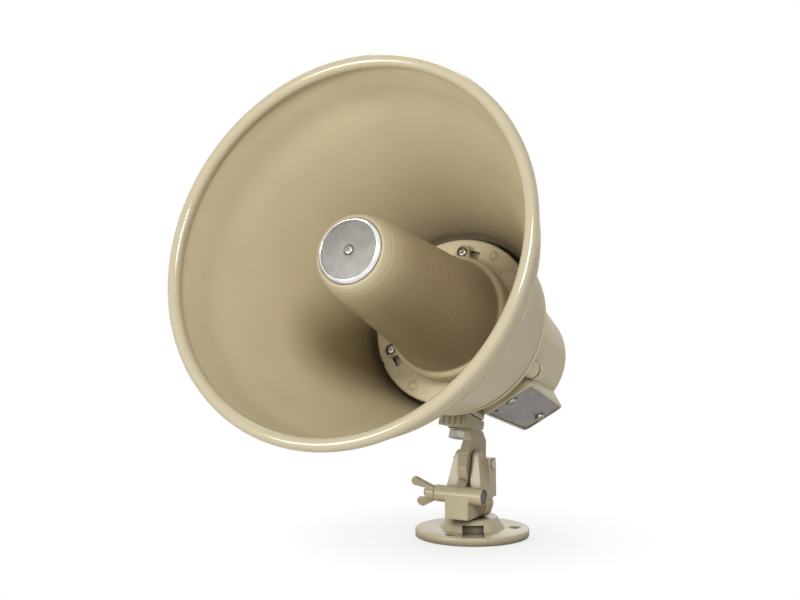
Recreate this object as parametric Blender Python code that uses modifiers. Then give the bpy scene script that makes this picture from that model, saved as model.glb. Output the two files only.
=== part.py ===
"""Folded PA horn speaker on a lockable swivel bracket.

Metres, +Z up. The origin is the centre of the base flange's underside, on the swivel axis.
The bell opens towards -Y and looks up by TILT. Inside the head, local +Z runs along the horn
axis towards the listener, local +Y is the upper side of the horn, and local zero is the plane
of the bell's neck ring.
"""

import math

import bmesh
import bpy
from mathutils import Matrix, Vector

# Fits
SEAT = 0.0003
RUN = 0.0005
MERGE = 0.00001
EDGE = 0.0006

# Base flange
BASE_R = 0.0387
BASE_T = 0.0055
HUB_R = 0.0215
HUB_TOP_R = 0.0170
HUB_H = 0.0080
BASE_TURN = math.radians(28.0)
BASE_HOLE_SHARE = 0.42
BASE_HOLE_R = 0.0036
BASE_HOLES = 3
STRAP_W = 0.0143
STRAP_H = 0.0048
STRAP_POCKET = 0.0075
STRAP_SLOT_T = 0.0045
CHANNEL_DEPTH = 0.0012
CHANNEL_MARGIN = 0.0042

# Swivel joint
SPIGOT_R = 0.0062
FLOOR_T = 0.0025
RING_Z = 0.0065
RING_GROOVE = 0.0014
RETAINER_T = 0.0012
RETAINER_GAP = 0.0030

# Tilt joint
PIVOT_Y = 0.0030
PIVOT_Z = 0.0495
PIVOT_PIN_R = 0.0026
PIVOT_HEAD_R = 0.0034
PIVOT_HEAD_T = 0.0006
TILT = math.radians(21.1)

# Yoke casting
CHEEK_T = 0.0055
CHEEK_SPREAD = 0.0140
NOSE_R = 0.0043
NOSE_RISE = 0.0055
NOSE_REACH = 0.0080
CHEEK_FRONT = 0.0176
CHEEK_REAR = 0.0056
LUG_HALF = 0.00475
LUG_RISE = 0.0042
LUG_FOOT_Z = 0.0270
LUG_FLARE = 0.0007
LUG_ROUND = 0.0020
BLOCK_HALF_W = 0.0087
BLOCK_FRONT = 0.0210
BOWL_TOP_R = 0.0138
BOWL_FOOT_R = 0.0094
BOWL_TOP_Z = 0.0290
BOWL_BAND = 0.0060
BOWL_WAIST = 0.45
YOKE_GAP = 0.0006
RIB_T = 0.0016
RIB_PROUD = 0.0016
RIB_ANGLES = (-48.0, -22.0, 4.0)
BARREL_Y = -0.0185
BARREL_Z = 0.0307
BARREL_R = 0.00575
BARREL_LEFT = 0.0175
BARREL_RIGHT = 0.0180
WINDOW_SILL = 0.0003

# Clamp bolt, wing nut and brake shoe
BOLT_R = 0.0030
BOLT_HEAD_R = 0.0048
BOLT_HEAD_T = 0.0036
BOLT_HEAD_SUNK = 0.0007
BOLT_STICKOUT = 0.0018
WING_HUB_R = 0.0052
WING_HUB_T = 0.0068
WING_T = 0.0026
WING_TIP_R = 0.0036
WING_SWEEP = 0.0130
WING_RISE = 0.0085
WING_ANGLE = math.radians(119.0)
BRAKE_HALF_W = 0.0042

# Tilt arm
ARM_T = 0.0069
SECTOR_R = 0.0190
SECTOR_TOP = 27.0
SECTOR_FOOT = -105.0
ARM_BACK_R = 0.0110
ARM_BACK_TOP = 0.0140
ARM_SHOULDER_Y = 0.0060
ARM_SHOULDER_Z = 0.0208
ARM_NECK_Y = -0.0112
ARM_NECK_Z = 0.0170
ARM_NECK_W = 0.0065
TOOTH_PITCH = 5.3
TOOTH_COUNT = 6
TOOTH_DEPTH = 0.0007
TOOTH_W = 0.0008
CLAMP_HALF_W = 0.0105
CLAMP_FRONT = -0.0110
CLAMP_BACK = -0.0380
CLAMP_DROP_FRONT = 0.0096
CLAMP_DROP_BACK = 0.0056
CLAMP_GROOVES = 4
CLAMP_GROOVE_W = 0.0012
CLAMP_GROOVE_DEPTH = 0.0007
FOOT_BOLT_Z = -0.0200
FOOT_BOLT_R = 0.0030
FOOT_BOLT_HEAD_R = 0.0056
FOOT_BOLT_HEAD_T = 0.0046
FOOT_BOLT_REACH = 0.0175
FOOT_BOSS_R = 0.0064
FOOT_BOSS_DROP = 0.0099
FOOT_WASHER_R = 0.0048
FOOT_WASHER_T = 0.0010

# Where the horn axis lies from the pivot, square to the axis and along it
AXIS_DROP = 0.0808
PIVOT_BACK = 0.0536

# Bell
BELL_DEPTH = 0.1670
MOUTH_R = 0.1240
BEAD_R = 0.0043
BAND_FRONT_R = 0.1186
CREASE_R = 0.1107
CREASE_BACK = 0.0368
CREASE_STEP = 0.0008
NECK_R = 0.0600
NECK_RING_R = 0.0016
WALL = 0.0015
BELL_HOLE_R = 0.0140
FLARE_STEPS = 6

# Housing behind the bell
GASKET_T = 0.0010
FLANGE_R = 0.0570
FLANGE_T = 0.0050
HOUSING_R = 0.0472
HOUSING_DEPTH = 0.0200
EAR_CIRCLE_R = 0.0505
EAR_R = 0.0060
EAR_ANGLES = (65.0, 155.0, 245.0, 335.0)
THROAT_R = 0.0080
THROAT_BACK_R = 0.0150
SOCKET_R = 0.0120
SOCKET_DEPTH = 0.0060
FOOT_DROP = 0.0552
FOOT_TOP = 0.0480
FOOT_FRONT = -0.0110
FOOT_BACK = -0.0360

# Through screws that hold can, housing, bell and plate together
THROUGH_R = 0.0020
THROUGH_HEAD_R = 0.0031
THROUGH_HEAD_T = 0.0026
EAR_T = 0.0048

# Reflector and its plate
PLATE_R = 0.0571
PLATE_T = 0.0040
PLATE_BACK = 0.0085
PLATE_HOLE_R = 0.0385
POST_R = 0.0042
DIMPLE_R = 0.0030
DIMPLE_RISE = 0.0012
POCKET_HALF = 0.0026
POCKET_DEPTH = 0.0012
POCKET_ANGLES = (81.0, 214.0, 322.0)
CONE_FLANGE_T = 0.0096
CONE_WALL = 0.0022
CONE_FLANGE_R = 0.0421
CONE_FLARE_R = 0.0049
CONE_FLARE_H = 0.0400
CONE_TIP_R = 0.0268
CONE_TIP_ROUND = 0.0056
CONE_LENGTH = 0.1445
LUG_OUT = 0.0044
LUG_R = 0.0052
LUG_T = 0.0046
LUG_ANGLES = (90.0, 210.0, 330.0)
LUG_SCREW_R = 0.0016
LUG_SCREW_HEAD_R = 0.0030
LUG_SCREW_HEAD_T = 0.0018
LUG_SCREW_REACH = 0.0050
NOSE_RING_R = 0.0211
NOSE_RING_W = 0.0026
NOSE_RING_T = 0.0028
NOSE_SEAT_DEPTH = 0.0006
NOSE_PLATE_T = 0.0010
NOSE_SCREW_R = 0.0016
NOSE_SCREW_HEAD_R = 0.0030
NOSE_SCREW_HEAD_T = 0.0016
NOSE_SCREW_REACH = 0.0070
NOSE_BOSS_R = 0.0055
NOSE_BOSS_H = 0.0095

# Tone tube
TUBE_WALL = 0.0015
TUBE_MOUTH_R = 0.0130
TUBE_SHORT = 0.0225

# Driver
PLUG_DISC_R = 0.0300
PLUG_DISC_T = 0.0020
PLUG_LENGTH = 0.0120
PLUG_TIP_R = 0.0020
PLUG_HOLLOW = 0.0012
PLUG_SLOTS = 3
PLUG_WEB_DEGREES = 10.0
PLUG_SLOT_IN = 0.0125
PLUG_SLOT_OUT = 0.0148
RING_IN_R = 0.0240
RING_T = 0.0030
COIL_R = 0.0193
COIL_T = 0.0005
COIL_LENGTH = 0.0085
DOME_RISE = 0.0020
FILM_T = 0.0003
FILM_RIM_R = 0.0235
AIR_GAP = 0.0007
TOP_PLATE_R = 0.0425
TOP_PLATE_T = 0.0060
MAGNET_R = 0.0410
MAGNET_HOLE_R = 0.0225
MAGNET_T = 0.0180
BACK_PLATE_R = 0.0398
BACK_PLATE_T = 0.0070
DRIVER_SCREW_CIRCLE_R = 0.0370
DRIVER_SCREW_R = 0.0020
DRIVER_SCREW_HEAD_R = 0.0036
DRIVER_SCREW_HEAD_T = 0.0024
DRIVER_SCREWS = 4
DRIVER_SCREW_TURN = 20.0
POLE_SETBACK = 0.0006

# Rear can with the terminal box
CAN_R = 0.0470
CAN_WALL = 0.0024
CAN_DEPTH = 0.0665
CAN_STRAIGHT = 0.0110
CAN_TAIL_R = 0.0398
CAN_ROUND = 0.0040
BOX_ANGLE = math.radians(37.0)
BOX_START = 0.0004
BOX_FRONT_HALF_W = 0.0190
BOX_BACK_HALF_W = 0.0160
BOX_FRONT_DROP = 0.0528
BOX_BACK_DROP = 0.0492
BOX_RIM = 0.0016
BOX_CORNER = 0.0050
BOX_ROOT = 0.0200
WELL_HALF_W = 0.0120
WELL_START = 0.0380
WELL_LENGTH = 0.0150
WELL_DEPTH = 0.0080
SHALLOW_DEPTH = 0.0032
COVER_SINK = 0.0004
COVER_T = 0.0012
COVER_BOSS_R = 0.0038
COVER_HOLE_R = 0.0013
LEAD_HOLE_R = 0.0011
COVER_SCREW_R = 0.0015
COVER_SCREW_HEAD_R = 0.0031
COVER_SCREW_HEAD_T = 0.0019
COVER_SCREW_REACH = 0.0040
COVER_SCREW_FRONT = 0.0052
COVER_SCREW_BACK = 0.0570
TERMINAL_T = 0.0036
TERMINAL_L = 0.0090
TERMINAL_W = 0.0200
TERMINAL_SCREW_R = 0.0014
TERMINAL_SCREW_HEAD_R = 0.0027
TERMINAL_SCREW_HEAD_T = 0.0012
TERMINAL_SCREW_SPACING = 0.0100

# Worked out from the sizes above
HUB_TOP_Z = BASE_T + HUB_H
BASE_HOLE_CIRCLE_R = HUB_R + BASE_HOLE_SHARE * (BASE_R - HUB_R)
CHANNEL_REACH = BASE_R - CHANNEL_MARGIN
YOKE_FOOT_Z = HUB_TOP_Z + YOKE_GAP
SPIGOT_END_Z = FLOOR_T + SEAT
ARM_HALF = ARM_T / 2
FORK_HALF = ARM_HALF + RUN
CHEEK_OUT = FORK_HALF + CHEEK_T
BELL_BACK_Z = -SEAT
BELL_FLOOR_Z = BELL_BACK_Z + WALL
GASKET_Z = BELL_BACK_Z - SEAT
HOUSING_Z = GASKET_Z - GASKET_T - SEAT
HOUSING_BACK_Z = HOUSING_Z - HOUSING_DEPTH
CAN_GASKET_Z = HOUSING_BACK_Z - SEAT
CAN_Z = CAN_GASKET_Z - GASKET_T - SEAT
CAN_BACK_Z = CAN_Z - CAN_DEPTH
EAR_BACK_Z = CAN_Z - EAR_T
PLATE_BACK_Z = BELL_FLOOR_Z + PLATE_BACK - WALL
PLATE_FRONT_Z = PLATE_BACK_Z + PLATE_T
CONE_Z = PLATE_FRONT_Z + SEAT
CONE_FRONT_Z = CONE_Z + CONE_LENGTH
PLUG_BACK_Z = HOUSING_BACK_Z - SEAT - PLUG_DISC_T
RING_BACK_Z = PLUG_BACK_Z - SEAT - RING_T
TOP_PLATE_Z = RING_BACK_Z - SEAT
MAGNET_Z = TOP_PLATE_Z - TOP_PLATE_T - SEAT
BACK_PLATE_Z = MAGNET_Z - MAGNET_T - SEAT
POLE_R = COIL_R - AIR_GAP
GAP_R = COIL_R + COIL_T + AIR_GAP
CLAMP_TOP = FOOT_DROP + RUN
CAN_TAPER_START_Z = CAN_Z - CAN_STRAIGHT
CONE_SLOPE_H = CONE_LENGTH - CONE_TIP_ROUND - CONE_FLANGE_T
CONE_TAPER = (CONE_FLANGE_R - CONE_FLARE_R - CONE_TIP_R) / CONE_SLOPE_H
LUG_CIRCLE_R = CONE_FLANGE_R + LUG_OUT
TUBE_LENGTH = CONE_LENGTH - TUBE_SHORT
NOSE_FLOOR_Z = CONE_FRONT_Z - NOSE_SEAT_DEPTH
FOOT_SEAT = -CLAMP_TOP - FOOT_BOSS_DROP
THROUGH_TIP_Z = PLATE_BACK_Z + EDGE
RIM_Z = RING_BACK_Z + RING_T / 2
BOX_LENGTH = CAN_DEPTH - BOX_START - SEAT
BOX_SLOPE = math.atan2(BOX_FRONT_DROP - BOX_BACK_DROP, BOX_LENGTH)
BOX_OUT = Vector((math.sin(BOX_ANGLE), -math.cos(BOX_ANGLE), 0))
COVER_BACK = -COVER_SINK - COVER_T
BRAKE_ANGLE = math.atan2(PIVOT_Z - BARREL_Z, PIVOT_Y - BARREL_Y)
BRAKE_REACH = math.hypot(PIVOT_Z - BARREL_Z, PIVOT_Y - BARREL_Y)


def clear_scene():
    """Remove what a new file holds."""
    for item in list(bpy.data.objects):
        bpy.data.objects.remove(item, do_unlink=True)


def new_collection(name):
    collection = bpy.data.collections.new(name)
    bpy.context.scene.collection.children.link(collection)
    return collection


clear_scene()
PARTS = new_collection("pa_horn_speaker")
CUTTERS = new_collection("cutters")


def new_material(name, color, roughness, metallic=0.0):
    material = bpy.data.materials.new(name)
    material.use_nodes = True
    shader = material.node_tree.nodes["Principled BSDF"]
    shader.inputs["Base Color"].default_value = (*color, 1.0)
    shader.inputs["Roughness"].default_value = roughness
    shader.inputs["Metallic"].default_value = metallic
    material.diffuse_color = (*color, 1.0)
    return material


BEIGE = (0.53, 0.45, 0.28)
ZINC = (0.55, 0.55, 0.53)
STEEL = (0.42, 0.42, 0.41)
BLACK = (0.03, 0.03, 0.03)


def place(obj, material, parent=None, location=(0, 0, 0), rotation=(0, 0, 0)):
    """Put an object in the parts collection with its own material."""
    PARTS.objects.link(obj)
    obj.data.materials.clear()
    obj.data.materials.append(material)
    obj.parent = parent
    obj.location = location
    obj.rotation_euler = rotation
    return obj


def empty(name, location=(0, 0, 0), rotation=(0, 0, 0), parent=None):
    obj = bpy.data.objects.new(name, None)
    PARTS.objects.link(obj)
    obj.location = location
    obj.rotation_euler = rotation
    obj.parent = parent
    obj.empty_display_size = 0.02
    return obj


def smooth(mesh, angle=35.0):
    mesh.shade_smooth()
    mesh.set_sharp_from_angle(angle=math.radians(angle))


def turned(name, profile, steps=36, ring=False):
    """A turned piece: (radius, height) points run down the outer side. A ring is a closed loop."""
    mesh = bpy.data.meshes.new(name)
    points = [(radius, 0.0, height) for radius, height in profile]
    edges = [(i, i + 1) for i in range(len(points) - 1)]
    if ring:
        edges.append((len(points) - 1, 0))
    mesh.from_pydata(points, edges, [])
    obj = bpy.data.objects.new(name, mesh)
    screw = obj.modifiers.new("turn", "SCREW")
    screw.axis = "Z"
    screw.steps = steps
    screw.render_steps = steps
    screw.use_merge_vertices = True
    screw.merge_threshold = MERGE
    screw.use_smooth_shade = True
    return obj


def disc(name, radius, top, bottom, steps=24, hole=0.0):
    """A plain round piece, or a ring when it has a hole."""
    if hole > 0:
        return turned(name, [(hole, top), (radius, top), (radius, bottom), (hole, bottom)], steps, True)
    return turned(name, [(0, top), (radius, top), (radius, bottom), (0, bottom)], steps)


def box(name, low, high):
    """A box between two corners."""
    mesh = bpy.data.meshes.new(name)
    shape = bmesh.new()
    bmesh.ops.create_cube(shape, size=1.0)
    size = Vector(high) - Vector(low)
    middle = (Vector(high) + Vector(low)) / 2
    bmesh.ops.transform(shape, matrix=Matrix.Translation(middle) @ Matrix.Diagonal((*size, 1.0)),
                        verts=shape.verts)
    shape.to_mesh(mesh)
    shape.free()
    return bpy.data.objects.new(name, mesh)


def prism(name, radius, top, bottom, sides=6):
    """An upright prism, such as a hex head."""
    mesh = bpy.data.meshes.new(name)
    shape = bmesh.new()
    bmesh.ops.create_cone(shape, cap_ends=True, segments=sides, radius1=radius, radius2=radius,
                          depth=top - bottom, matrix=Matrix.Translation((0, 0, (top + bottom) / 2)))
    shape.to_mesh(mesh)
    shape.free()
    return bpy.data.objects.new(name, mesh)


def arc(x, y, radius, start, end, count):
    """Points on an arc, angles in degrees."""
    points = []
    for i in range(count + 1):
        angle = math.radians(start + (end - start) * i / count)
        points.append((x + radius * math.cos(angle), y + radius * math.sin(angle)))
    return points


def rounded(corners, count=2):
    """A closed outline whose corners (x, y, radius) are rounded off."""
    points = []
    for i, (x, y, radius) in enumerate(corners):
        here = Vector((x, y))
        before = (Vector(corners[i - 1][:2]) - here).normalized()
        after = (Vector(corners[(i + 1) % len(corners)][:2]) - here).normalized()
        reach = radius / math.tan(before.angle(after) / 2)
        start = here + before * reach
        end = here + after * reach
        for k in range(count + 1 if radius > 0 else 1):
            t = k / count
            points.append(tuple(start * (1 - t) ** 2 + here * 2 * t * (1 - t) + end * t ** 2))
    return points


def slab(name, outline, low, high):
    """A flat outline made solid between two heights along local Z."""
    curve = bpy.data.curves.new(name, "CURVE")
    curve.dimensions = "2D"
    curve.fill_mode = "BOTH"
    curve.extrude = (high - low) / 2
    spline = curve.splines.new("POLY")
    spline.points.add(len(outline) - 1)
    for point, (x, y) in zip(spline.points, outline):
        point.co = (x, y, 0.0, 1.0)
    spline.use_cyclic_u = True
    source = bpy.data.objects.new(name + "_curve", curve)
    bpy.context.scene.collection.objects.link(source)
    bpy.context.view_layer.update()
    mesh = bpy.data.meshes.new_from_object(source.evaluated_get(bpy.context.evaluated_depsgraph_get()))
    bpy.data.objects.remove(source, do_unlink=True)
    bpy.data.curves.remove(curve)
    shape = bmesh.new()
    shape.from_mesh(mesh)
    bmesh.ops.remove_doubles(shape, verts=shape.verts, dist=MERGE)
    bmesh.ops.translate(shape, vec=(0, 0, (low + high) / 2), verts=shape.verts)
    bmesh.ops.recalc_face_normals(shape, faces=shape.faces)
    shape.to_mesh(mesh)
    shape.free()
    mesh.name = name
    return bpy.data.objects.new(name, mesh)


def combine(target, operation, tool, location=(0, 0, 0), rotation=(0, 0, 0), parent=None):
    """Cut the target with a tool or join the tool to it. The tool moves with the target's parent."""
    CUTTERS.objects.link(tool)
    tool.hide_render = True
    tool.display_type = "WIRE"
    tool.location = location
    tool.rotation_euler = rotation
    tool.parent = parent
    boolean = target.modifiers.new(tool.name, "BOOLEAN")
    boolean.operation = operation
    boolean.solver = "EXACT"
    boolean.object = tool
    return tool


def cut(target, tool, **where):
    return combine(target, "DIFFERENCE", tool, **where)


def join(target, tool, **where):
    return combine(target, "UNION", tool, **where)


def stepped_hole(name, top, wide, depth, bottom, narrow, steps):
    """Cutter for a screw: a wide seat for the head, and a narrow hole that runs on through."""
    profile = [(0, top + MARGIN), (wide, top + MARGIN), (wide, top - depth), (narrow, top - depth),
               (narrow, bottom - MARGIN), (0, bottom - MARGIN)]
    return turned(name, profile, steps)


def polar(radius, degrees, height=0.0):
    angle = math.radians(degrees)
    return (radius * math.cos(angle), radius * math.sin(angle), height)


# Outlines drawn as (Y, Z) stand up across X with this turn, and pins along X use the other
UPRIGHT = (math.pi / 2, 0, math.pi / 2)
ALONG_X = (0, math.pi / 2, 0)
ALONG_Y = (-math.pi / 2, 0, 0)
BRAKE_TURN = (Matrix.Rotation(BRAKE_ANGLE, 3, "X") @ Matrix(((0, 0, 1), (1, 0, 0), (0, 1, 0)))).to_euler()
MARGIN = 0.0020

base_axis = empty("base_axis", rotation=(0, 0, BASE_TURN))
swivel = empty("swivel_axis")
pivot = empty("tilt_axis", location=(0, PIVOT_Y, PIVOT_Z), parent=swivel)
# From the pivot to the neck ring's centre, along the horn's own up and forward directions
HORN_UP = Vector((0, math.sin(TILT), math.cos(TILT)))
HORN_FORWARD = Vector((0, -math.cos(TILT), math.sin(TILT)))
horn = empty("horn_axis", location=HORN_UP * AXIS_DROP + HORN_FORWARD * PIVOT_BACK,
             rotation=(math.pi / 2 - TILT, 0, 0), parent=pivot)
# On the terminal box's open face, local X runs across, local Y forward and local Z outwards
box_face = empty("box_axis", location=BOX_OUT * BOX_FRONT_DROP + Vector((0, 0, CAN_Z - BOX_START)),
                 rotation=(math.pi / 2 + BOX_SLOPE, 0, BOX_ANGLE), parent=horn)


def make_base():
    """Round flange with a cone hub, screw holes, strap slots and the blind swivel bore."""
    bore = SPIGOT_R + RUN
    deep = bore + RING_GROOVE
    profile = [(0, FLOOR_T), (bore, FLOOR_T), (bore, RING_Z - SEAT), (deep, RING_Z - SEAT),
               (deep, RING_Z + RETAINER_T + SEAT), (bore, RING_Z + RETAINER_T + SEAT),
               (bore, HUB_TOP_Z), (HUB_TOP_R, HUB_TOP_Z), (HUB_R, BASE_T), (BASE_R - EDGE, BASE_T),
               (BASE_R, BASE_T - EDGE), (BASE_R, EDGE), (BASE_R - EDGE, 0), (0, 0)]
    base = turned("base_flange", profile, 32)
    place(base, new_material("base_enamel", BEIGE, 0.45), parent=base_axis)
    for i in range(BASE_HOLES):
        hole = disc("base_hole_%d" % i, BASE_HOLE_R, BASE_T + MARGIN, -MARGIN, 12)
        cut(base, hole, location=polar(BASE_HOLE_CIRCLE_R, 360.0 / BASE_HOLES * i), parent=base_axis)
    for side in (-1, 1):
        inner = HUB_R - STRAP_POCKET
        edge = inner + STRAP_SLOT_T
        near, far = sorted((side * inner, side * (HUB_R + MARGIN)))
        window = box("strap_window_%d" % side, (-STRAP_W / 2, near, BASE_T),
                     (STRAP_W / 2, far, BASE_T + STRAP_H))
        cut(base, window, parent=base_axis)
        near, far = sorted((side * inner, side * edge))
        slot = box("strap_slot_%d" % side, (-STRAP_W / 2, near, -MARGIN),
                   (STRAP_W / 2, far, BASE_T + STRAP_H / 2))
        cut(base, slot, parent=base_axis)
        near, far = sorted((side * inner, side * CHANNEL_REACH))
        channel = box("strap_channel_%d" % side, (-STRAP_W / 2, near, BASE_T - CHANNEL_DEPTH),
                      (STRAP_W / 2, far, BASE_T + STRAP_H / 2))
        cut(base, channel, parent=base_axis)


def make_retainer():
    """Split ring in matching grooves of spigot and bore: it keeps the yoke in the base."""
    inner = SPIGOT_R - RING_GROOVE + SEAT
    outer = SPIGOT_R + RUN + RING_GROOVE - SEAT
    ring = disc("swivel_retainer", outer, RING_Z + RETAINER_T, RING_Z, 20, inner)
    place(ring, new_material("swivel_retainer_steel", STEEL, 0.35, 1.0), parent=swivel)
    gap = box("swivel_retainer_gap", (0, -RETAINER_GAP / 2, RING_Z - MARGIN),
              (outer + MARGIN, RETAINER_GAP / 2, RING_Z + RETAINER_T + MARGIN))
    cut(ring, gap, parent=swivel)


def cheek_outline():
    """Side view of a fork cheek as (y, z) from the pivot: rounded nose in front, lug height behind."""
    foot_z = BOWL_TOP_Z - PIVOT_Z - MARGIN
    nose = arc(-NOSE_REACH, NOSE_RISE, NOSE_R, 165, 70, 4)
    top_z = LUG_RISE - EDGE
    return [(-CHEEK_FRONT, foot_z)] + nose + [(0, top_z), (CHEEK_REAR, top_z), (CHEEK_REAR, foot_z)]


def bowl_side():
    """Outer side of the yoke's bowl as (radius, z), top to bottom."""
    waist = BOWL_TOP_R - (BOWL_TOP_R - BOWL_FOOT_R) * BOWL_WAIST
    return [(BOWL_TOP_R, BOWL_TOP_Z), (BOWL_TOP_R, BOWL_TOP_Z - BOWL_BAND),
            (waist, YOKE_FOOT_Z + BOWL_BAND * BOWL_WAIST), (BOWL_FOOT_R, YOKE_FOOT_Z)]


def rib_outline():
    """Half section of a stiffening rib as (radius, z): it follows the bowl and stands proud of it."""
    inner = BOWL_FOOT_R / 2
    top, band, waist, foot = bowl_side()
    return [(inner, foot[1] + EDGE), (foot[0] + RIB_PROUD, foot[1] + EDGE), (waist[0] + RIB_PROUD, waist[1]),
            (band[0] + RIB_PROUD, band[1]), (top[0] + EDGE, top[1] - EDGE), (inner, top[1] - EDGE)]


def add_cheek(yoke, side):
    """One fork cheek with its nose, the lug round the pin's end and the ribs below it."""
    at_pivot = (0, PIVOT_Y, PIVOT_Z)
    low, high = sorted((side * ARM_HALF / 2, side * CHEEK_SPREAD))
    cheek = slab("yoke_cheek_%d" % side, cheek_outline(), low, high)
    slope = math.atan2(CHEEK_SPREAD - CHEEK_OUT, PIVOT_Z + LUG_RISE - BARREL_Z)
    near, far = sorted((0, side * CHEEK_SPREAD))
    trim = box("yoke_cheek_trim_%d" % side, (near, -PIVOT_Z, -PIVOT_Z), (far, PIVOT_Z, PIVOT_Z))
    cut(cheek, trim, location=(side * CHEEK_OUT, PIVOT_Y, PIVOT_Z + LUG_RISE),
        rotation=(0, -side * slope, 0), parent=swivel)
    join(yoke, cheek, location=at_pivot, rotation=UPRIGHT, parent=swivel)
    foot_z = LUG_FOOT_Z - PIVOT_Z
    corners = [(-LUG_HALF, foot_z, 0), (LUG_HALF + LUG_FLARE, foot_z, LUG_ROUND),
               (LUG_HALF, LUG_RISE, LUG_ROUND), (-LUG_HALF, LUG_RISE, 0)]
    low, high = sorted((side * ARM_HALF, side * CHEEK_SPREAD))
    lug = slab("yoke_lug_%d" % side, rounded(corners), low, high)
    join(yoke, lug, location=at_pivot, rotation=UPRIGHT, parent=swivel)
    for i, degrees in enumerate(RIB_ANGLES):
        rib = slab("yoke_rib_%d_%d" % (side, i), rib_outline(), -RIB_T / 2, RIB_T / 2)
        angle = degrees if side > 0 else 180 - degrees
        join(yoke, rib, rotation=(math.pi / 2, 0, math.radians(angle)), parent=swivel)


def make_yoke():
    """One casting: bowl on the swivel, front block, clamp barrel and the two fork cheeks."""
    narrow = SPIGOT_R - RING_GROOVE
    profile = [(0, BOWL_TOP_Z)] + bowl_side()
    profile += [(SPIGOT_R, YOKE_FOOT_Z), (SPIGOT_R, RING_Z + RETAINER_T + SEAT),
                (narrow, RING_Z + RETAINER_T + SEAT), (narrow, RING_Z - SEAT), (SPIGOT_R, RING_Z - SEAT),
                (SPIGOT_R, SPIGOT_END_Z), (0, SPIGOT_END_Z)]
    yoke = turned("yoke", profile, 24)
    place(yoke, new_material("yoke_enamel", BEIGE, 0.45), parent=swivel)
    at_pivot = (0, PIVOT_Y, PIVOT_Z)
    at_barrel = (0, BARREL_Y, BARREL_Z)
    block = box("yoke_block", (-BLOCK_HALF_W, -BLOCK_FRONT, YOKE_FOOT_Z + EDGE), (BLOCK_HALF_W, 0, BARREL_Z))
    join(yoke, block, parent=swivel)
    for side in (-1, 1):
        add_cheek(yoke, side)
    barrel = disc("yoke_barrel", BARREL_R, BARREL_RIGHT, -BARREL_LEFT, 24)
    join(yoke, barrel, location=at_barrel, rotation=ALONG_X, parent=swivel)

    sweep = disc("yoke_slot_sweep", SECTOR_R + 2 * RUN, FORK_HALF, -FORK_HALF, 36)
    cut(yoke, sweep, location=at_pivot, rotation=ALONG_X, parent=swivel)
    sill = BARREL_Z + BARREL_R + WINDOW_SILL
    slot = box("yoke_slot", (-FORK_HALF, -PIVOT_Z, sill), (FORK_HALF, PIVOT_Z, 2 * PIVOT_Z))
    cut(yoke, slot, parent=swivel)
    far_end = [(BRAKE_REACH, -BRAKE_HALF_W - SEAT), (BRAKE_REACH, BRAKE_HALF_W + SEAT)]
    pocket = slab("yoke_brake_pocket", brake_tail(SEAT) + far_end, -ARM_HALF - SEAT, ARM_HALF + SEAT)
    cut(yoke, pocket, location=at_barrel, rotation=BRAKE_TURN, parent=swivel)

    pin_end = CHEEK_SPREAD + MARGIN
    pin_hole = disc("yoke_pin_hole", PIVOT_PIN_R + SEAT, pin_end, -pin_end, 20)
    cut(yoke, pin_hole, location=at_pivot, rotation=ALONG_X, parent=swivel)
    bolt_hole = disc("yoke_bolt_hole", BOLT_R + SEAT, BARREL_RIGHT + MARGIN, -BARREL_LEFT - MARGIN, 20)
    cut(yoke, bolt_hole, location=at_barrel, rotation=ALONG_X, parent=swivel)
    seat = BARREL_RIGHT - BOLT_HEAD_SUNK - BOLT_HEAD_T - SEAT
    head_hole = disc("yoke_head_hole", BOLT_HEAD_R + SEAT, BARREL_RIGHT + MARGIN, seat, 24)
    cut(yoke, head_hole, location=at_barrel, rotation=ALONG_X, parent=swivel)


def brake_tail(grow=0.0):
    """Round end of the brake shoe about the clamp bolt."""
    return arc(0, 0, BRAKE_HALF_W + grow, 90, 270, 10)


def make_pivot_pin():
    """Pin through cheeks and arm, peened to a flat head beside each lug."""
    half = CHEEK_SPREAD + SEAT
    profile = [(0, half + PIVOT_HEAD_T), (PIVOT_HEAD_R, half + PIVOT_HEAD_T), (PIVOT_HEAD_R, half),
               (PIVOT_PIN_R, half), (PIVOT_PIN_R, -half), (PIVOT_HEAD_R, -half),
               (PIVOT_HEAD_R, -half - PIVOT_HEAD_T), (0, -half - PIVOT_HEAD_T)]
    pin = turned("pivot_pin", profile, 16)
    place(pin, new_material("pivot_pin_steel", STEEL, 0.4, 1.0), parent=swivel,
          location=(0, PIVOT_Y, PIVOT_Z), rotation=ALONG_X)


def make_clamp_bolt():
    """Bolt along the barrel: sunk head on the right, plain end through the wing nut on the left."""
    head_out = BARREL_RIGHT - BOLT_HEAD_SUNK
    head_in = head_out - BOLT_HEAD_T
    end = -BARREL_LEFT - SEAT - WING_HUB_T - BOLT_STICKOUT
    profile = [(0, head_out), (BOLT_HEAD_R - EDGE, head_out), (BOLT_HEAD_R, head_out - EDGE),
               (BOLT_HEAD_R, head_in), (BOLT_R, head_in), (BOLT_R, end + EDGE), (BOLT_R - EDGE, end),
               (0, end)]
    bolt = turned("clamp_bolt", profile, 20)
    place(bolt, new_material("clamp_bolt_steel", STEEL, 0.35, 1.0), parent=swivel,
          location=(0, BARREL_Y, BARREL_Z), rotation=ALONG_X)


def wing_outline(root, length):
    """A wing as (along the bolt, away from it): it grows out of the hub and sweeps outwards."""
    lean = math.degrees(math.atan2(WING_RISE - WING_HUB_R / 2, -WING_SWEEP))
    tip = arc(root - WING_SWEEP, WING_RISE, WING_TIP_R, lean + 75, lean - 75, 8)
    inner = BOLT_R + (WING_HUB_R - BOLT_R) / 2
    return [(root - length, inner)] + tip + [(root - EDGE, WING_HUB_R), (root - EDGE, inner)]


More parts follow.
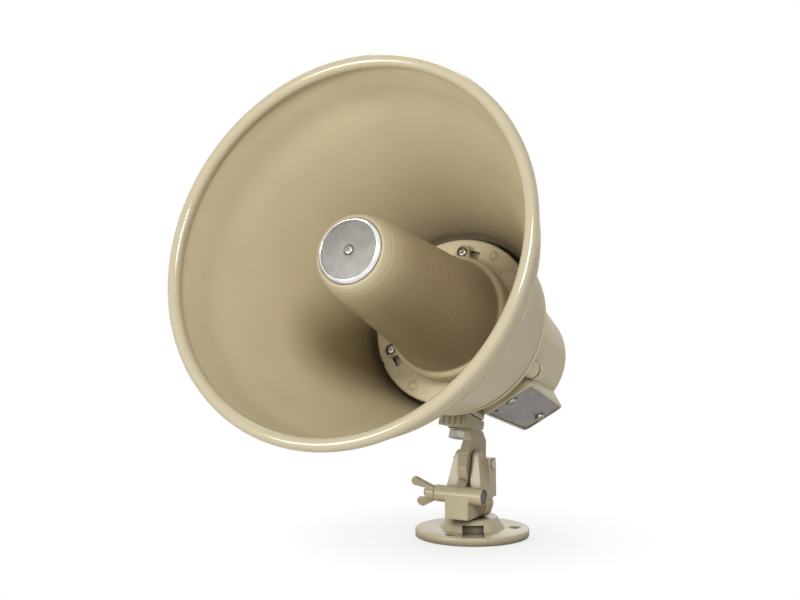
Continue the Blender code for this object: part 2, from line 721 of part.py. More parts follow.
def make_wing_nut():
    """Cast wing nut with two wings that sweep away from the barrel."""
    axis = empty("wing_nut_axis", location=(0, BARREL_Y, BARREL_Z), parent=swivel)
    root = -BARREL_LEFT - SEAT
    end = root - WING_HUB_T
    bore = BOLT_R + SEAT
    profile = [(bore, root), (WING_HUB_R, root), (WING_HUB_R, end + EDGE), (WING_HUB_R - EDGE, end),
               (bore, end)]
    nut = turned("wing_nut", profile, 24, True)
    place(nut, new_material("wing_nut_enamel", BEIGE, 0.45), parent=axis, rotation=ALONG_X)
    for side in (0, 1):
        wing = slab("wing_%d" % side, wing_outline(root, WING_HUB_T), -WING_T / 2, WING_T / 2)
        join(nut, wing, rotation=(WING_ANGLE + side * math.pi, 0, 0), parent=axis)
    hole = disc("wing_nut_hole", bore, root + MARGIN, root - 2 * WING_SWEEP, 20)
    cut(nut, hole, rotation=ALONG_X, parent=axis)


def make_brake_shoe():
    """Shoe on the clamp bolt whose hollow end presses on the arm's sector."""
    face_r = SECTOR_R + RUN
    swing = math.degrees(math.asin(BRAKE_HALF_W / face_r))
    outline = brake_tail() + arc(BRAKE_REACH, 0, face_r, 180 + swing, 180 - swing, 8)
    shoe = slab("brake_shoe", outline, -ARM_HALF, ARM_HALF)
    place(shoe, new_material("brake_shoe_steel", STEEL, 0.5, 1.0), parent=swivel,
          location=(0, BARREL_Y, BARREL_Z), rotation=BRAKE_TURN)
    hole = disc("brake_shoe_hole", BOLT_R + SEAT, ARM_T, -ARM_T, 20)
    cut(shoe, hole, location=(0, BARREL_Y, BARREL_Z), rotation=ALONG_X, parent=swivel)


def arm_outline():
    """Side view of the arm as (y, z) from the pivot: toothed sector in front, round boss behind."""
    sector = arc(0, 0, SECTOR_R, 180 - SECTOR_TOP, 180 - SECTOR_FOOT, 20)
    boss = arc(0, 0, ARM_BACK_R, 190 - SECTOR_FOOT, 360, 5)
    depth = CLAMP_TOP + CLAMP_DROP_BACK / 2
    return sector + boss + [(ARM_BACK_R, ARM_BACK_TOP), (ARM_SHOULDER_Y, ARM_SHOULDER_Z),
                            horn_point(depth, CLAMP_BACK + EDGE), horn_point(depth, CLAMP_BACK + ARM_NECK_W),
                            (ARM_NECK_Y, ARM_NECK_Z)]


def horn_point(drop, along):
    """(y, z) from the pivot of a point under the horn axis."""
    point = HORN_UP * (AXIS_DROP - drop) + HORN_FORWARD * (PIVOT_BACK + along)
    return (point.y, point.z)


def make_tilt_arm():
    """Arm casting: clamp under the horn's foot, flat arm in the fork, sector with teeth."""
    arm = slab("tilt_arm", arm_outline(), -ARM_HALF, ARM_HALF)
    place(arm, new_material("tilt_arm_enamel", BEIGE, 0.45), parent=pivot, rotation=UPRIGHT)
    low_front = -CLAMP_TOP - CLAMP_DROP_FRONT
    low_back = -CLAMP_TOP - CLAMP_DROP_BACK
    outline = [(-CLAMP_TOP, CLAMP_FRONT), (-CLAMP_TOP, CLAMP_BACK), (low_back, CLAMP_BACK),
               (low_front, CLAMP_FRONT)]
    clamp = slab("tilt_arm_clamp", outline, -CLAMP_HALF_W, CLAMP_HALF_W)
    edge = clamp.modifiers.new("cast_edges", "BEVEL")
    edge.width = EDGE
    edge.segments = 1
    join(arm, clamp, rotation=UPRIGHT, parent=horn)
    pitch = 2 * CLAMP_HALF_W / (CLAMP_GROOVES + 1)
    for i in range(CLAMP_GROOVES):
        x = -CLAMP_HALF_W + pitch * (i + 1)
        groove = box("clamp_groove_%d" % i,
                     (x - CLAMP_GROOVE_W / 2, low_front - MARGIN, CLAMP_FRONT - CLAMP_GROOVE_DEPTH),
                     (x + CLAMP_GROOVE_W / 2, -CLAMP_TOP + MARGIN, CLAMP_FRONT + MARGIN))
        cut(arm, groove, parent=horn)
    for i in range(TOOTH_COUNT):
        angle = math.radians(SECTOR_TOP - TOOTH_PITCH * (i + 0.5))
        groove = box("tooth_gap_%d" % i, (-ARM_T, -MARGIN, -TOOTH_W / 2), (ARM_T, TOOTH_DEPTH, TOOTH_W / 2))
        rim = (0, -SECTOR_R * math.cos(angle), SECTOR_R * math.sin(angle))
        cut(arm, groove, location=rim, rotation=(-angle, 0, 0), parent=pivot)
    pin_hole = disc("tilt_arm_pin_hole", PIVOT_PIN_R + SEAT, ARM_T, -ARM_T, 20)
    cut(arm, pin_hole, rotation=ALONG_X, parent=pivot)
    boss = disc("clamp_boss", FOOT_BOSS_R, -CLAMP_TOP - EDGE, FOOT_SEAT, 20)
    join(arm, boss, location=(0, 0, FOOT_BOLT_Z), rotation=ALONG_Y, parent=horn)
    bolt_hole = disc("tilt_arm_bolt_hole", FOOT_BOLT_R + SEAT, -CLAMP_TOP + MARGIN, FOOT_SEAT - MARGIN, 20)
    cut(arm, bolt_hole, location=(0, 0, FOOT_BOLT_Z), rotation=ALONG_Y, parent=horn)


def make_foot_bolt():
    """Hex bolt with a lock washer that draws the clamp up against the horn's foot."""
    seat = FOOT_SEAT - SEAT
    at_bolt = (0, 0, FOOT_BOLT_Z)
    washer = disc("foot_lock_washer", FOOT_WASHER_R, seat, seat - FOOT_WASHER_T, 16, FOOT_BOLT_R + SEAT)
    place(washer, new_material("foot_washer_zinc", ZINC, 0.35, 1.0), parent=horn, location=at_bolt,
          rotation=ALONG_Y)
    head_top = seat - FOOT_WASHER_T - SEAT
    bolt = prism("foot_bolt", FOOT_BOLT_HEAD_R, head_top, head_top - FOOT_BOLT_HEAD_T)
    place(bolt, new_material("foot_bolt_zinc", ZINC, 0.35, 1.0), parent=horn, location=at_bolt,
          rotation=ALONG_Y)
    shank = disc("foot_bolt_shank", FOOT_BOLT_R, head_top + FOOT_BOLT_REACH, head_top - EDGE, 16)
    join(bolt, shank, location=at_bolt, rotation=ALONG_Y, parent=horn)


def bell_side():
    """Outer side of the bell as (radius, z), mouth to neck: bead, straight band, crease, flare."""
    crease_z = BELL_DEPTH - CREASE_BACK
    bead_z = BELL_DEPTH - BEAD_R
    bead = arc(MOUTH_R - BEAD_R, bead_z, BEAD_R, 180, -110, 5)
    points = bead + [(BAND_FRONT_R, BELL_DEPTH - 2 * BEAD_R - EDGE)]
    points += [(CREASE_R, crease_z), (CREASE_R - CREASE_STEP, crease_z - CREASE_STEP)]
    growth = math.log((CREASE_R - CREASE_STEP) / NECK_R) / (crease_z - CREASE_STEP)
    for i in range(1, FLARE_STEPS):
        height = (crease_z - CREASE_STEP) * (1 - i / FLARE_STEPS)
        points.append((NECK_R * math.exp(growth * height), height))
    return points


def make_bell():
    """Spun bell: rolled mouth bead, straight band, exponential flare, neck ring and flat floor."""
    outer = bell_side()
    ring = arc(NECK_R, NECK_RING_R, NECK_RING_R, 80, -80, 2)
    inner = [(radius - WALL, height) for radius, height in outer[-FLARE_STEPS - 1:]][::-1]
    profile = outer + ring + [(NECK_R - WALL, BELL_BACK_Z), (BELL_HOLE_R, BELL_BACK_Z),
                              (BELL_HOLE_R, BELL_FLOOR_Z), (NECK_R - 2 * WALL, BELL_FLOOR_Z)]
    profile += inner + [(BAND_FRONT_R - WALL, BELL_DEPTH - 2 * BEAD_R - EDGE)]
    bell = turned("bell", profile, 36, True)
    place(bell, new_material("bell_enamel", BEIGE, 0.4), parent=horn)
    for i, degrees in enumerate(EAR_ANGLES):
        hole = disc("bell_hole_%d" % i, THROUGH_R + SEAT, BELL_FLOOR_Z + MARGIN, -MARGIN, 8)
        cut(bell, hole, location=polar(EAR_CIRCLE_R, degrees), parent=horn)


def ear_tools(name, top, bottom):
    """Round ears on the bolt circle, one tool for each through screw."""
    for i, degrees in enumerate(EAR_ANGLES):
        yield disc("%s_%d" % (name, i), EAR_R, top, bottom, 10), polar(EAR_CIRCLE_R, degrees)


def drill_ears(target, top, bottom):
    """Clearance holes for the through screws."""
    for i, degrees in enumerate(EAR_ANGLES):
        hole = disc("%s_hole_%d" % (target.name, i), THROUGH_R + SEAT, top + MARGIN, bottom - MARGIN, 8)
        cut(target, hole, location=polar(EAR_CIRCLE_R, degrees), parent=horn)


def make_gasket(name, top, inner, outer, ears):
    """Flat rubber gasket, with ears where it is not a full flange."""
    gasket = disc(name, outer, top, top - GASKET_T, 24, inner)
    place(gasket, new_material(name + "_rubber", BLACK, 0.8), parent=horn)
    if ears:
        for ear, where in ear_tools(name + "_ear", top, top - GASKET_T):
            join(gasket, ear, location=where, parent=horn)
    drill_ears(gasket, top, top - GASKET_T)


def make_housing():
    """Casting behind the bell: flange, throat, socket for the tone tube, ears and the foot."""
    back = HOUSING_BACK_Z
    flange_back = HOUSING_Z - FLANGE_T
    profile = [(THROAT_R, HOUSING_Z), (FLANGE_R, HOUSING_Z), (FLANGE_R, flange_back),
               (HOUSING_R, flange_back), (HOUSING_R, back), (THROAT_BACK_R, back),
               (THROAT_R, HOUSING_Z - SOCKET_DEPTH)]
    housing = turned("throat_housing", profile, 28, True)
    place(housing, new_material("throat_housing_enamel", BEIGE, 0.45), parent=horn)
    for ear, where in ear_tools("housing_ear", flange_back + EDGE, back):
        join(housing, ear, location=where, parent=horn)
    root = box("housing_foot_root", (-CLAMP_HALF_W + EDGE, -FOOT_DROP + EDGE, back + EDGE),
               (CLAMP_HALF_W - EDGE, -HOUSING_R + EAR_R, FOOT_FRONT - EDGE))
    join(housing, root, parent=horn)
    foot = box("housing_foot", (-CLAMP_HALF_W, -FOOT_DROP, FOOT_BACK), (CLAMP_HALF_W, -FOOT_TOP, FOOT_FRONT))
    join(housing, foot, parent=horn)
    socket = disc("housing_socket", SOCKET_R + SEAT, HOUSING_Z + MARGIN, HOUSING_Z - SOCKET_DEPTH, 20)
    cut(housing, socket, parent=horn)
    drill_ears(housing, HOUSING_Z, back)
    for i in range(DRIVER_SCREWS):
        where = polar(DRIVER_SCREW_CIRCLE_R, 360.0 / DRIVER_SCREWS * i + DRIVER_SCREW_TURN)
        hole = stepped_hole("housing_driver_hole_%d" % i, HOUSING_Z, DRIVER_SCREW_HEAD_R + RUN,
                            DRIVER_SCREW_HEAD_T + SEAT, back, DRIVER_SCREW_R + SEAT, 10)
        cut(housing, hole, location=where, parent=horn)
    tapped_top = FOOT_SEAT - FOOT_WASHER_T - SEAT + FOOT_BOLT_REACH
    tapped = disc("housing_bolt_hole", FOOT_BOLT_R + SEAT, tapped_top, -FOOT_DROP - MARGIN, 16)
    cut(housing, tapped, location=(0, 0, FOOT_BOLT_Z), rotation=ALONG_Y, parent=horn)


def make_reflector_plate():
    """Cast plate behind the cone: lug seats, pockets, dimples, and four posts down to the bell's floor."""
    rim = [(PLATE_HOLE_R, PLATE_FRONT_Z), (PLATE_R - 2 * EDGE, PLATE_FRONT_Z),
           (PLATE_R, PLATE_FRONT_Z - EDGE), (PLATE_R, PLATE_BACK_Z + EDGE),
           (PLATE_R - EDGE, PLATE_BACK_Z), (PLATE_HOLE_R, PLATE_BACK_Z)]
    plate = turned("reflector_plate", rim, 28, True)
    place(plate, new_material("reflector_plate_enamel", BEIGE, 0.45), parent=horn)
    post_end = BELL_FLOOR_Z + SEAT
    for i, degrees in enumerate(EAR_ANGLES):
        where = polar(EAR_CIRCLE_R, degrees)
        post = disc("plate_post_%d" % i, POST_R, PLATE_BACK_Z + EDGE, post_end, 10)
        join(plate, post, location=where, parent=horn)
        dimple = turned("plate_dimple_%d" % i,
                        [(0, PLATE_FRONT_Z + DIMPLE_RISE), (DIMPLE_R * 0.6, PLATE_FRONT_Z + DIMPLE_RISE),
                         (DIMPLE_R, PLATE_FRONT_Z), (DIMPLE_R, PLATE_BACK_Z + EDGE),
                         (0, PLATE_BACK_Z + EDGE)], 12)
        join(plate, dimple, location=where, parent=horn)
        hole = disc("plate_post_hole_%d" % i, THROUGH_R + SEAT, THROUGH_TIP_Z + SEAT, post_end - MARGIN, 8)
        cut(plate, hole, location=where, parent=horn)
    for i, degrees in enumerate(POCKET_ANGLES):
        pocket = box("plate_pocket_%d" % i, (-POCKET_HALF, -POCKET_HALF, PLATE_FRONT_Z - POCKET_DEPTH),
                     (POCKET_HALF, POCKET_HALF, PLATE_FRONT_Z + MARGIN))
        cut(plate, pocket, location=polar(LUG_CIRCLE_R, degrees), rotation=(0, 0, math.radians(degrees)),
            parent=horn)
    for i, degrees in enumerate(LUG_ANGLES):
        hole = disc("plate_lug_hole_%d" % i, LUG_SCREW_R + SEAT, PLATE_FRONT_Z + MARGIN,
                    PLATE_BACK_Z - MARGIN, 10)
        cut(plate, hole, location=polar(LUG_CIRCLE_R, degrees), parent=horn)


def make_through_screws():
    """Four long screws: can ear, housing ear, bell floor, into the posts of the reflector plate."""
    material = new_material("through_screw_zinc", ZINC, 0.35, 1.0)
    head_top = EAR_BACK_Z - SEAT
    head_end = head_top - THROUGH_HEAD_T
    for i, degrees in enumerate(EAR_ANGLES):
        profile = [(0, THROUGH_TIP_Z), (THROUGH_R, THROUGH_TIP_Z), (THROUGH_R, head_top),
                   (THROUGH_HEAD_R, head_top), (THROUGH_HEAD_R, head_end + EDGE),
                   (THROUGH_HEAD_R - 2 * EDGE, head_end), (0, head_end)]
        screw = turned("through_screw_%d" % (i + 1), profile, 8)
        place(screw, material, parent=horn, location=polar(EAR_CIRCLE_R, degrees))


def cone_radius(height):
    """Outer radius of the reflector at a height above its foot: slim taper, then a quick flare."""
    rest = max(0.0, 1 - (height - CONE_FLANGE_T) / CONE_FLARE_H)
    return CONE_TIP_R + CONE_TAPER * (CONE_LENGTH - CONE_TIP_ROUND - height) + CONE_FLARE_R * rest ** 2


def make_reflector():
    """Hollow bullet that turns the sound back: closed nose, thin wall, three screw lugs."""
    shoulder = CONE_LENGTH - CONE_TIP_ROUND
    nose = arc(CONE_TIP_R - CONE_TIP_ROUND, CONE_Z + shoulder, CONE_TIP_ROUND, 80, 0, 4)
    bore = NOSE_SCREW_R + SEAT
    seat_r = NOSE_RING_R + SEAT
    steps = [CONE_FLANGE_T + CONE_FLARE_H * (1 - i / 4) for i in range(4)]
    side = [(cone_radius(height), CONE_Z + height) for height in steps]
    edge = [(CONE_FLANGE_R - EDGE / 2, CONE_Z + CONE_FLANGE_T + EDGE),
            (CONE_FLANGE_R, CONE_Z + CONE_FLANGE_T)]
    inner = [(cone_radius(height) - CONE_WALL, CONE_Z + height) for height in (CONE_FLANGE_T, steps[0])]
    ceiling = CONE_FRONT_Z - 2 * CONE_WALL
    profile = [(0, NOSE_FLOOR_Z - NOSE_SCREW_REACH), (bore, NOSE_FLOOR_Z - NOSE_SCREW_REACH),
               (bore, NOSE_FLOOR_Z), (seat_r, NOSE_FLOOR_Z), (seat_r, CONE_FRONT_Z)] + nose + side + edge
    profile += [(CONE_FLANGE_R, CONE_Z), (CONE_FLANGE_R - CONE_WALL, CONE_Z)]
    profile += inner + [(CONE_TIP_R - CONE_WALL, CONE_Z + shoulder - CONE_WALL),
                        (CONE_TIP_R - CONE_TIP_ROUND, ceiling), (NOSE_BOSS_R, ceiling),
                        (NOSE_BOSS_R, NOSE_FLOOR_Z - NOSE_BOSS_H), (0, NOSE_FLOOR_Z - NOSE_BOSS_H)]
    cone = turned("reflector", profile, 32)
    place(cone, new_material("reflector_enamel", BEIGE, 0.4), parent=horn)
    for i, degrees in enumerate(LUG_ANGLES):
        lug = disc("reflector_lug_%d" % i, LUG_R, CONE_Z + LUG_T, CONE_Z + SEAT, 14)
        join(cone, lug, location=polar(LUG_CIRCLE_R, degrees), parent=horn)
        web = box("reflector_web_%d" % i, (CONE_FLANGE_R - CONE_WALL / 2, EDGE - LUG_R, CONE_Z + EDGE),
                  (LUG_CIRCLE_R, LUG_R - EDGE, CONE_Z + LUG_T - EDGE))
        join(cone, web, rotation=(0, 0, math.radians(degrees)), parent=horn)
    for i, degrees in enumerate(EAR_ANGLES):
        relief = disc("reflector_relief_%d" % i, DIMPLE_R + RUN, CONE_Z + DIMPLE_RISE + SEAT,
                      CONE_Z - MARGIN, 10)
        cut(cone, relief, location=polar(EAR_CIRCLE_R, degrees), parent=horn)
    for i, degrees in enumerate(LUG_ANGLES):
        hole = stepped_hole("reflector_lug_hole_%d" % i, CONE_Z + LUG_T, LUG_SCREW_HEAD_R + RUN,
                            LUG_SCREW_HEAD_T, CONE_Z, LUG_SCREW_R + SEAT, 12)
        cut(cone, hole, location=polar(LUG_CIRCLE_R, degrees), parent=horn)


def make_nose():
    """Bright ring, brushed plate inside it and the screw in its middle."""
    floor = NOSE_FLOOR_Z + SEAT
    inner = NOSE_RING_R - NOSE_RING_W
    profile = [(inner, floor + NOSE_RING_T), (NOSE_RING_R - EDGE, floor + NOSE_RING_T),
               (NOSE_RING_R, floor + NOSE_RING_T - EDGE), (NOSE_RING_R, floor), (inner, floor)]
    ring = turned("nose_ring", profile, 28, True)
    place(ring, new_material("nose_ring_aluminium", (0.8, 0.8, 0.8), 0.15, 1.0), parent=horn)
    plate_top = floor + NOSE_PLATE_T
    hole = NOSE_SCREW_R + SEAT
    plate = disc("nose_plate", inner - SEAT, plate_top, floor, 24, hole)
    place(plate, new_material("nose_plate_aluminium", (0.55, 0.54, 0.5), 0.4, 1.0), parent=horn)
    head = plate_top + SEAT
    tip = floor - NOSE_SCREW_REACH + 2 * SEAT
    profile = [(0, head + NOSE_SCREW_HEAD_T), (NOSE_SCREW_HEAD_R / 2, head + NOSE_SCREW_HEAD_T),
               (NOSE_SCREW_HEAD_R, head + EDGE), (NOSE_SCREW_HEAD_R, head), (NOSE_SCREW_R, head),
               (NOSE_SCREW_R, tip), (0, tip)]
    screw = turned("nose_screw", profile, 12)
    place(screw, new_material("nose_screw_zinc", ZINC, 0.3, 1.0), parent=horn)


def make_lug_screws():
    """Three screws that hold the reflector on its plate."""
    material = new_material("lug_screw_zinc", ZINC, 0.3, 1.0)
    seat = CONE_Z + LUG_T - LUG_SCREW_HEAD_T + SEAT
    top = seat + LUG_SCREW_HEAD_T
    tip = CONE_Z - LUG_SCREW_REACH + SEAT
    for i, degrees in enumerate(LUG_ANGLES):
        profile = [(0, top), (LUG_SCREW_HEAD_R * 0.7, top), (LUG_SCREW_HEAD_R, top - EDGE),
                   (LUG_SCREW_HEAD_R, seat), (LUG_SCREW_R, seat), (LUG_SCREW_R, tip), (0, tip)]
        screw = turned("reflector_screw_%d" % (i + 1), profile, 10)
        place(screw, material, parent=horn, location=polar(LUG_CIRCLE_R, degrees))


def make_tone_tube():
    """Flaring tube that carries the sound from the throat forward into the reflector."""
    foot = HOUSING_Z - SOCKET_DEPTH + SEAT
    top = foot + TUBE_LENGTH
    wall = TUBE_WALL
    profile = [(TUBE_MOUTH_R, top), (TUBE_MOUTH_R + wall, top), (THROAT_R + wall, HOUSING_Z + MARGIN),
               (SOCKET_R, HOUSING_Z), (SOCKET_R, foot), (THROAT_R, foot)]
    tube = turned("tone_tube", profile, 16, True)
    place(tube, new_material("tone_tube_plastic", BLACK, 0.5), parent=horn)


def make_phase_plug():
    """Slotted disc with a bullet that feeds the throat evenly."""
    front = PLUG_BACK_Z + PLUG_DISC_T
    profile = [(0, front + PLUG_LENGTH), (PLUG_TIP_R, front + PLUG_LENGTH - PLUG_TIP_R),
               (PLUG_SLOT_IN - EDGE, front), (PLUG_DISC_R, front), (PLUG_DISC_R, PLUG_BACK_Z),
               (COIL_R, PLUG_BACK_Z), (COIL_R * 0.6, PLUG_BACK_Z + PLUG_HOLLOW),
               (0, PLUG_BACK_Z + PLUG_HOLLOW)]
    plug = turned("phase_plug", profile, 20)
    place(plug, new_material("phase_plug_plastic", BLACK, 0.5), parent=horn)
    for i in range(PLUG_SLOTS):
        middle = 360.0 / PLUG_SLOTS * i
        half = 180.0 / PLUG_SLOTS - PLUG_WEB_DEGREES
        outline = arc(0, 0, PLUG_SLOT_OUT, middle - half, middle + half, 4)
        outline += arc(0, 0, PLUG_SLOT_IN, middle + half, middle - half, 4)
        slot = slab("plug_slot_%d" % i, outline, PLUG_BACK_Z - MARGIN, front + MARGIN)
        cut(plug, slot, parent=horn)


def make_diaphragm():
    """Domed film with its flat rim, and the voice coil under the dome's edge."""
    dome = arc(0, 0, 1, 90, 0, 3)
    top = [(COIL_R * x, RIM_Z + DOME_RISE * y) for x, y in dome]
    under = [(radius - (0 if i == 0 else FILM_T), height - FILM_T) for i, (radius, height) in enumerate(top)]
    profile = top + [(FILM_RIM_R, RIM_Z), (FILM_RIM_R, RIM_Z - FILM_T)] + under[::-1]
    film = turned("diaphragm", profile, 16)
    place(film, new_material("diaphragm_film", (0.35, 0.2, 0.08), 0.5), parent=horn)
    coil_top = RIM_Z - FILM_T - SEAT
    coil = disc("voice_coil", COIL_R + COIL_T, coil_top, coil_top - COIL_LENGTH, 20, COIL_R)
    place(coil, new_material("voice_coil_copper", (0.6, 0.25, 0.1), 0.35, 1.0), parent=horn)


def make_motor():
    """Spacer ring, top plate, ring magnet, and back plate with its pole."""
    ring = disc("diaphragm_ring", PLUG_DISC_R, RING_BACK_Z + RING_T, RING_BACK_Z, 20, RING_IN_R)
    place(ring, new_material("diaphragm_ring_plastic", BLACK, 0.5), parent=horn)
    top = disc("top_plate", TOP_PLATE_R, TOP_PLATE_Z, TOP_PLATE_Z - TOP_PLATE_T, 24, GAP_R)
    place(top, new_material("top_plate_steel", STEEL, 0.4, 1.0), parent=horn)
    for i in range(DRIVER_SCREWS):
        where = polar(DRIVER_SCREW_CIRCLE_R, 360.0 / DRIVER_SCREWS * i + DRIVER_SCREW_TURN)
        hole = disc("top_plate_hole_%d" % i, DRIVER_SCREW_R + SEAT, TOP_PLATE_Z + MARGIN,
                    TOP_PLATE_Z - TOP_PLATE_T - MARGIN, 8)
        cut(top, hole, location=where, parent=horn)
    magnet = disc("magnet", MAGNET_R, MAGNET_Z, MAGNET_Z - MAGNET_T, 24, MAGNET_HOLE_R)
    place(magnet, new_material("magnet_ferrite", (0.06, 0.06, 0.06), 0.6), parent=horn)
    pole_top = TOP_PLATE_Z - POLE_SETBACK
    back = BACK_PLATE_Z - BACK_PLATE_T
    profile = [(0, pole_top), (POLE_R, pole_top), (POLE_R, BACK_PLATE_Z), (BACK_PLATE_R, BACK_PLATE_Z),
               (BACK_PLATE_R, back + 2 * EDGE), (BACK_PLATE_R - 2 * EDGE, back), (0, back)]
    pole = turned("back_plate_and_pole", profile, 24)
    place(pole, new_material("back_plate_steel", STEEL, 0.4, 1.0), parent=horn)


def make_driver_screws():
    """Screws sunk in the housing's front face that carry the motor by its top plate."""
    material = new_material("driver_screw_zinc", ZINC, 0.35, 1.0)
    top = HOUSING_Z - SEAT
    seat = top - DRIVER_SCREW_HEAD_T + SEAT
    tip = TOP_PLATE_Z - TOP_PLATE_T + SEAT
    for i in range(DRIVER_SCREWS):
        profile = [(0, top), (DRIVER_SCREW_HEAD_R, top), (DRIVER_SCREW_HEAD_R, seat), (DRIVER_SCREW_R, seat),
                   (DRIVER_SCREW_R, tip), (0, tip)]
        screw = turned("driver_screw_%d" % (i + 1), profile, 8)
        place(screw, material, parent=horn,
              location=polar(DRIVER_SCREW_CIRCLE_R, 360.0 / DRIVER_SCREWS * i + DRIVER_SCREW_TURN))


def can_side(inset):
    """Side of the can as (radius, z), front to back: the outside, or the inside with a wall's inset."""
    tail_z = CAN_BACK_Z + CAN_ROUND
    corner = arc(CAN_TAIL_R - CAN_ROUND, tail_z, CAN_ROUND - inset, 0, -90, 2)
    return [(CAN_R - inset, CAN_TAPER_START_Z)] + corner


def box_outline(side_inset, end_inset):
    """Outline of the terminal box or its cover on the box's face: wide in front, rounded at the back."""
    front = -end_inset
    back = end_inset - BOX_LENGTH
    return rounded([(-BOX_FRONT_HALF_W + side_inset, front, EDGE),
                    (BOX_FRONT_HALF_W - side_inset, front, EDGE),
                    (BOX_BACK_HALF_W - side_inset, back, BOX_CORNER - side_inset),
                    (-BOX_BACK_HALF_W + side_inset, back, BOX_CORNER - side_inset)])


def cover_screw_places():
    """Where the two cover screws stand on the box's face."""
    return [(0, -COVER_SCREW_FRONT, 0), (0, -COVER_SCREW_BACK, 0)]


def make_rear_can():
    """Cast can over the driver, with four ears and the open terminal box on its lower right."""
    outside = [(0, CAN_Z), (CAN_R, CAN_Z)] + can_side(0.0) + [(0, CAN_BACK_Z)]
    can = turned("rear_can", outside, 28)
    place(can, new_material("rear_can_enamel", BEIGE, 0.45), parent=horn)
    for ear, where in ear_tools("can_ear", CAN_Z, EAR_BACK_Z):
        join(can, ear, location=where, parent=horn)
    block = slab("terminal_box", box_outline(0.0, 0.0), -BOX_ROOT, 0)
    join(can, block, parent=box_face)
    top = CAN_Z + MARGIN
    hollow = [(0, top), (CAN_R - CAN_WALL, top)] + can_side(CAN_WALL) + [(0, CAN_BACK_Z + CAN_WALL)]
    cut(can, turned("can_hollow", hollow, 20), parent=horn)
    seat = slab("box_cover_seat", box_outline(BOX_RIM, BOX_RIM), COVER_BACK - SEAT, MARGIN)
    cut(can, seat, parent=box_face)
    shallow = slab("box_shallow", box_outline(2 * BOX_RIM, 2 * BOX_RIM), COVER_BACK - SHALLOW_DEPTH, MARGIN)
    for i, where in enumerate(cover_screw_places()):
        boss = disc("box_boss_%d" % i, COVER_BOSS_R, 2 * MARGIN, -BOX_ROOT, 20)
        cut(shallow, boss, location=where, parent=box_face)
    cut(can, shallow, parent=box_face)
    well = box("box_well", (-WELL_HALF_W, -WELL_START - WELL_LENGTH, -WELL_DEPTH),
               (WELL_HALF_W, -WELL_START, MARGIN))
    cut(can, well, parent=box_face)
    for i, (x, y, z) in enumerate(cover_screw_places()):
        hole = disc("box_screw_hole_%d" % i, COVER_SCREW_R + SEAT, MARGIN,
                    COVER_BACK - COVER_SCREW_REACH, 12)
        cut(can, hole, location=(x, y, z), parent=box_face)
    lead = disc("box_lead_hole", LEAD_HOLE_R, 0, -BOX_ROOT, 12)
    lead_y = -WELL_START - WELL_LENGTH + 2 * LEAD_HOLE_R
    cut(can, lead, location=(0, lead_y, 0), parent=box_face)
    for i, (x, y, _) in enumerate(terminal_places()):
        hole = disc("well_screw_hole_%d" % i, TERMINAL_SCREW_R + SEAT, -WELL_DEPTH + MARGIN,
                    -WELL_DEPTH - EDGE - SEAT, 12)
        cut(can, hole, location=(x, y, 0), parent=box_face)
    drill_ears(can, CAN_Z, EAR_BACK_Z)


def make_cover():
    """Plate sunk in the rim of the terminal box, and its two screws."""
    cover = slab("terminal_cover", box_outline(BOX_RIM + SEAT, BOX_RIM + SEAT), COVER_BACK, -COVER_SINK)
    place(cover, new_material("terminal_cover_grey", (0.22, 0.19, 0.16), 0.5), parent=box_face)
    corner = (SEAT + 4 * BOX_RIM - BOX_FRONT_HALF_W, -4 * BOX_RIM, 0)
    vent = disc("cover_vent", COVER_HOLE_R, MARGIN, COVER_BACK - MARGIN, 12)
    cut(cover, vent, location=corner, parent=box_face)
    material = new_material("cover_screw_zinc", ZINC, 0.3, 1.0)
    for i, where in enumerate(cover_screw_places()):
        hole = disc("cover_hole_%d" % i, COVER_SCREW_R + SEAT, MARGIN, COVER_BACK - MARGIN, 12)
        cut(cover, hole, location=where, parent=box_face)
        seat = SEAT - COVER_SINK
        tip = COVER_BACK - COVER_SCREW_REACH + SEAT
        profile = [(0, seat + COVER_SCREW_HEAD_T), (COVER_SCREW_HEAD_R * 0.6, seat + COVER_SCREW_HEAD_T),
                   (COVER_SCREW_HEAD_R, seat + EDGE), (COVER_SCREW_HEAD_R, seat), (COVER_SCREW_R, seat),
                   (COVER_SCREW_R, tip), (0, tip)]
        screw = turned("cover_screw_%d" % (i + 1), profile, 10)
        place(screw, material, parent=box_face, location=where)


def terminal_places():
    """Where the terminal screws stand in the well."""
    middle = -WELL_START - SEAT - TERMINAL_L / 2
    return [(-TERMINAL_SCREW_SPACING / 2, middle, 0), (TERMINAL_SCREW_SPACING / 2, middle, 0)]


def make_terminals():
    """Terminal block in the well under the cover, with two screws."""
    floor = -WELL_DEPTH + SEAT
    front = -WELL_START - SEAT
    block = box("terminal_block", (-TERMINAL_W / 2, front - TERMINAL_L, floor),
                (TERMINAL_W / 2, front, floor + TERMINAL_T))
    place(block, new_material("terminal_block_plastic", BLACK, 0.5), parent=box_face)
    material = new_material("terminal_screw_brass", (0.6, 0.42, 0.16), 0.35, 1.0)
    seat = floor + TERMINAL_T + SEAT
    for i, where in enumerate(terminal_places()):
        hole = disc("terminal_hole_%d" % i, TERMINAL_SCREW_R + SEAT, seat + MARGIN, floor - MARGIN, 12)
        cut(block, hole, location=where, parent=box_face)
        profile = [(0, seat + TERMINAL_SCREW_HEAD_T), (TERMINAL_SCREW_HEAD_R, seat + TERMINAL_SCREW_HEAD_T),
                   (TERMINAL_SCREW_HEAD_R, seat), (TERMINAL_SCREW_R, seat), (TERMINAL_SCREW_R, floor - EDGE),
                   (0, floor - EDGE)]
        screw = turned("terminal_screw_%d" % (i + 1), profile, 8)
        place(screw, material, parent=box_face, location=where)


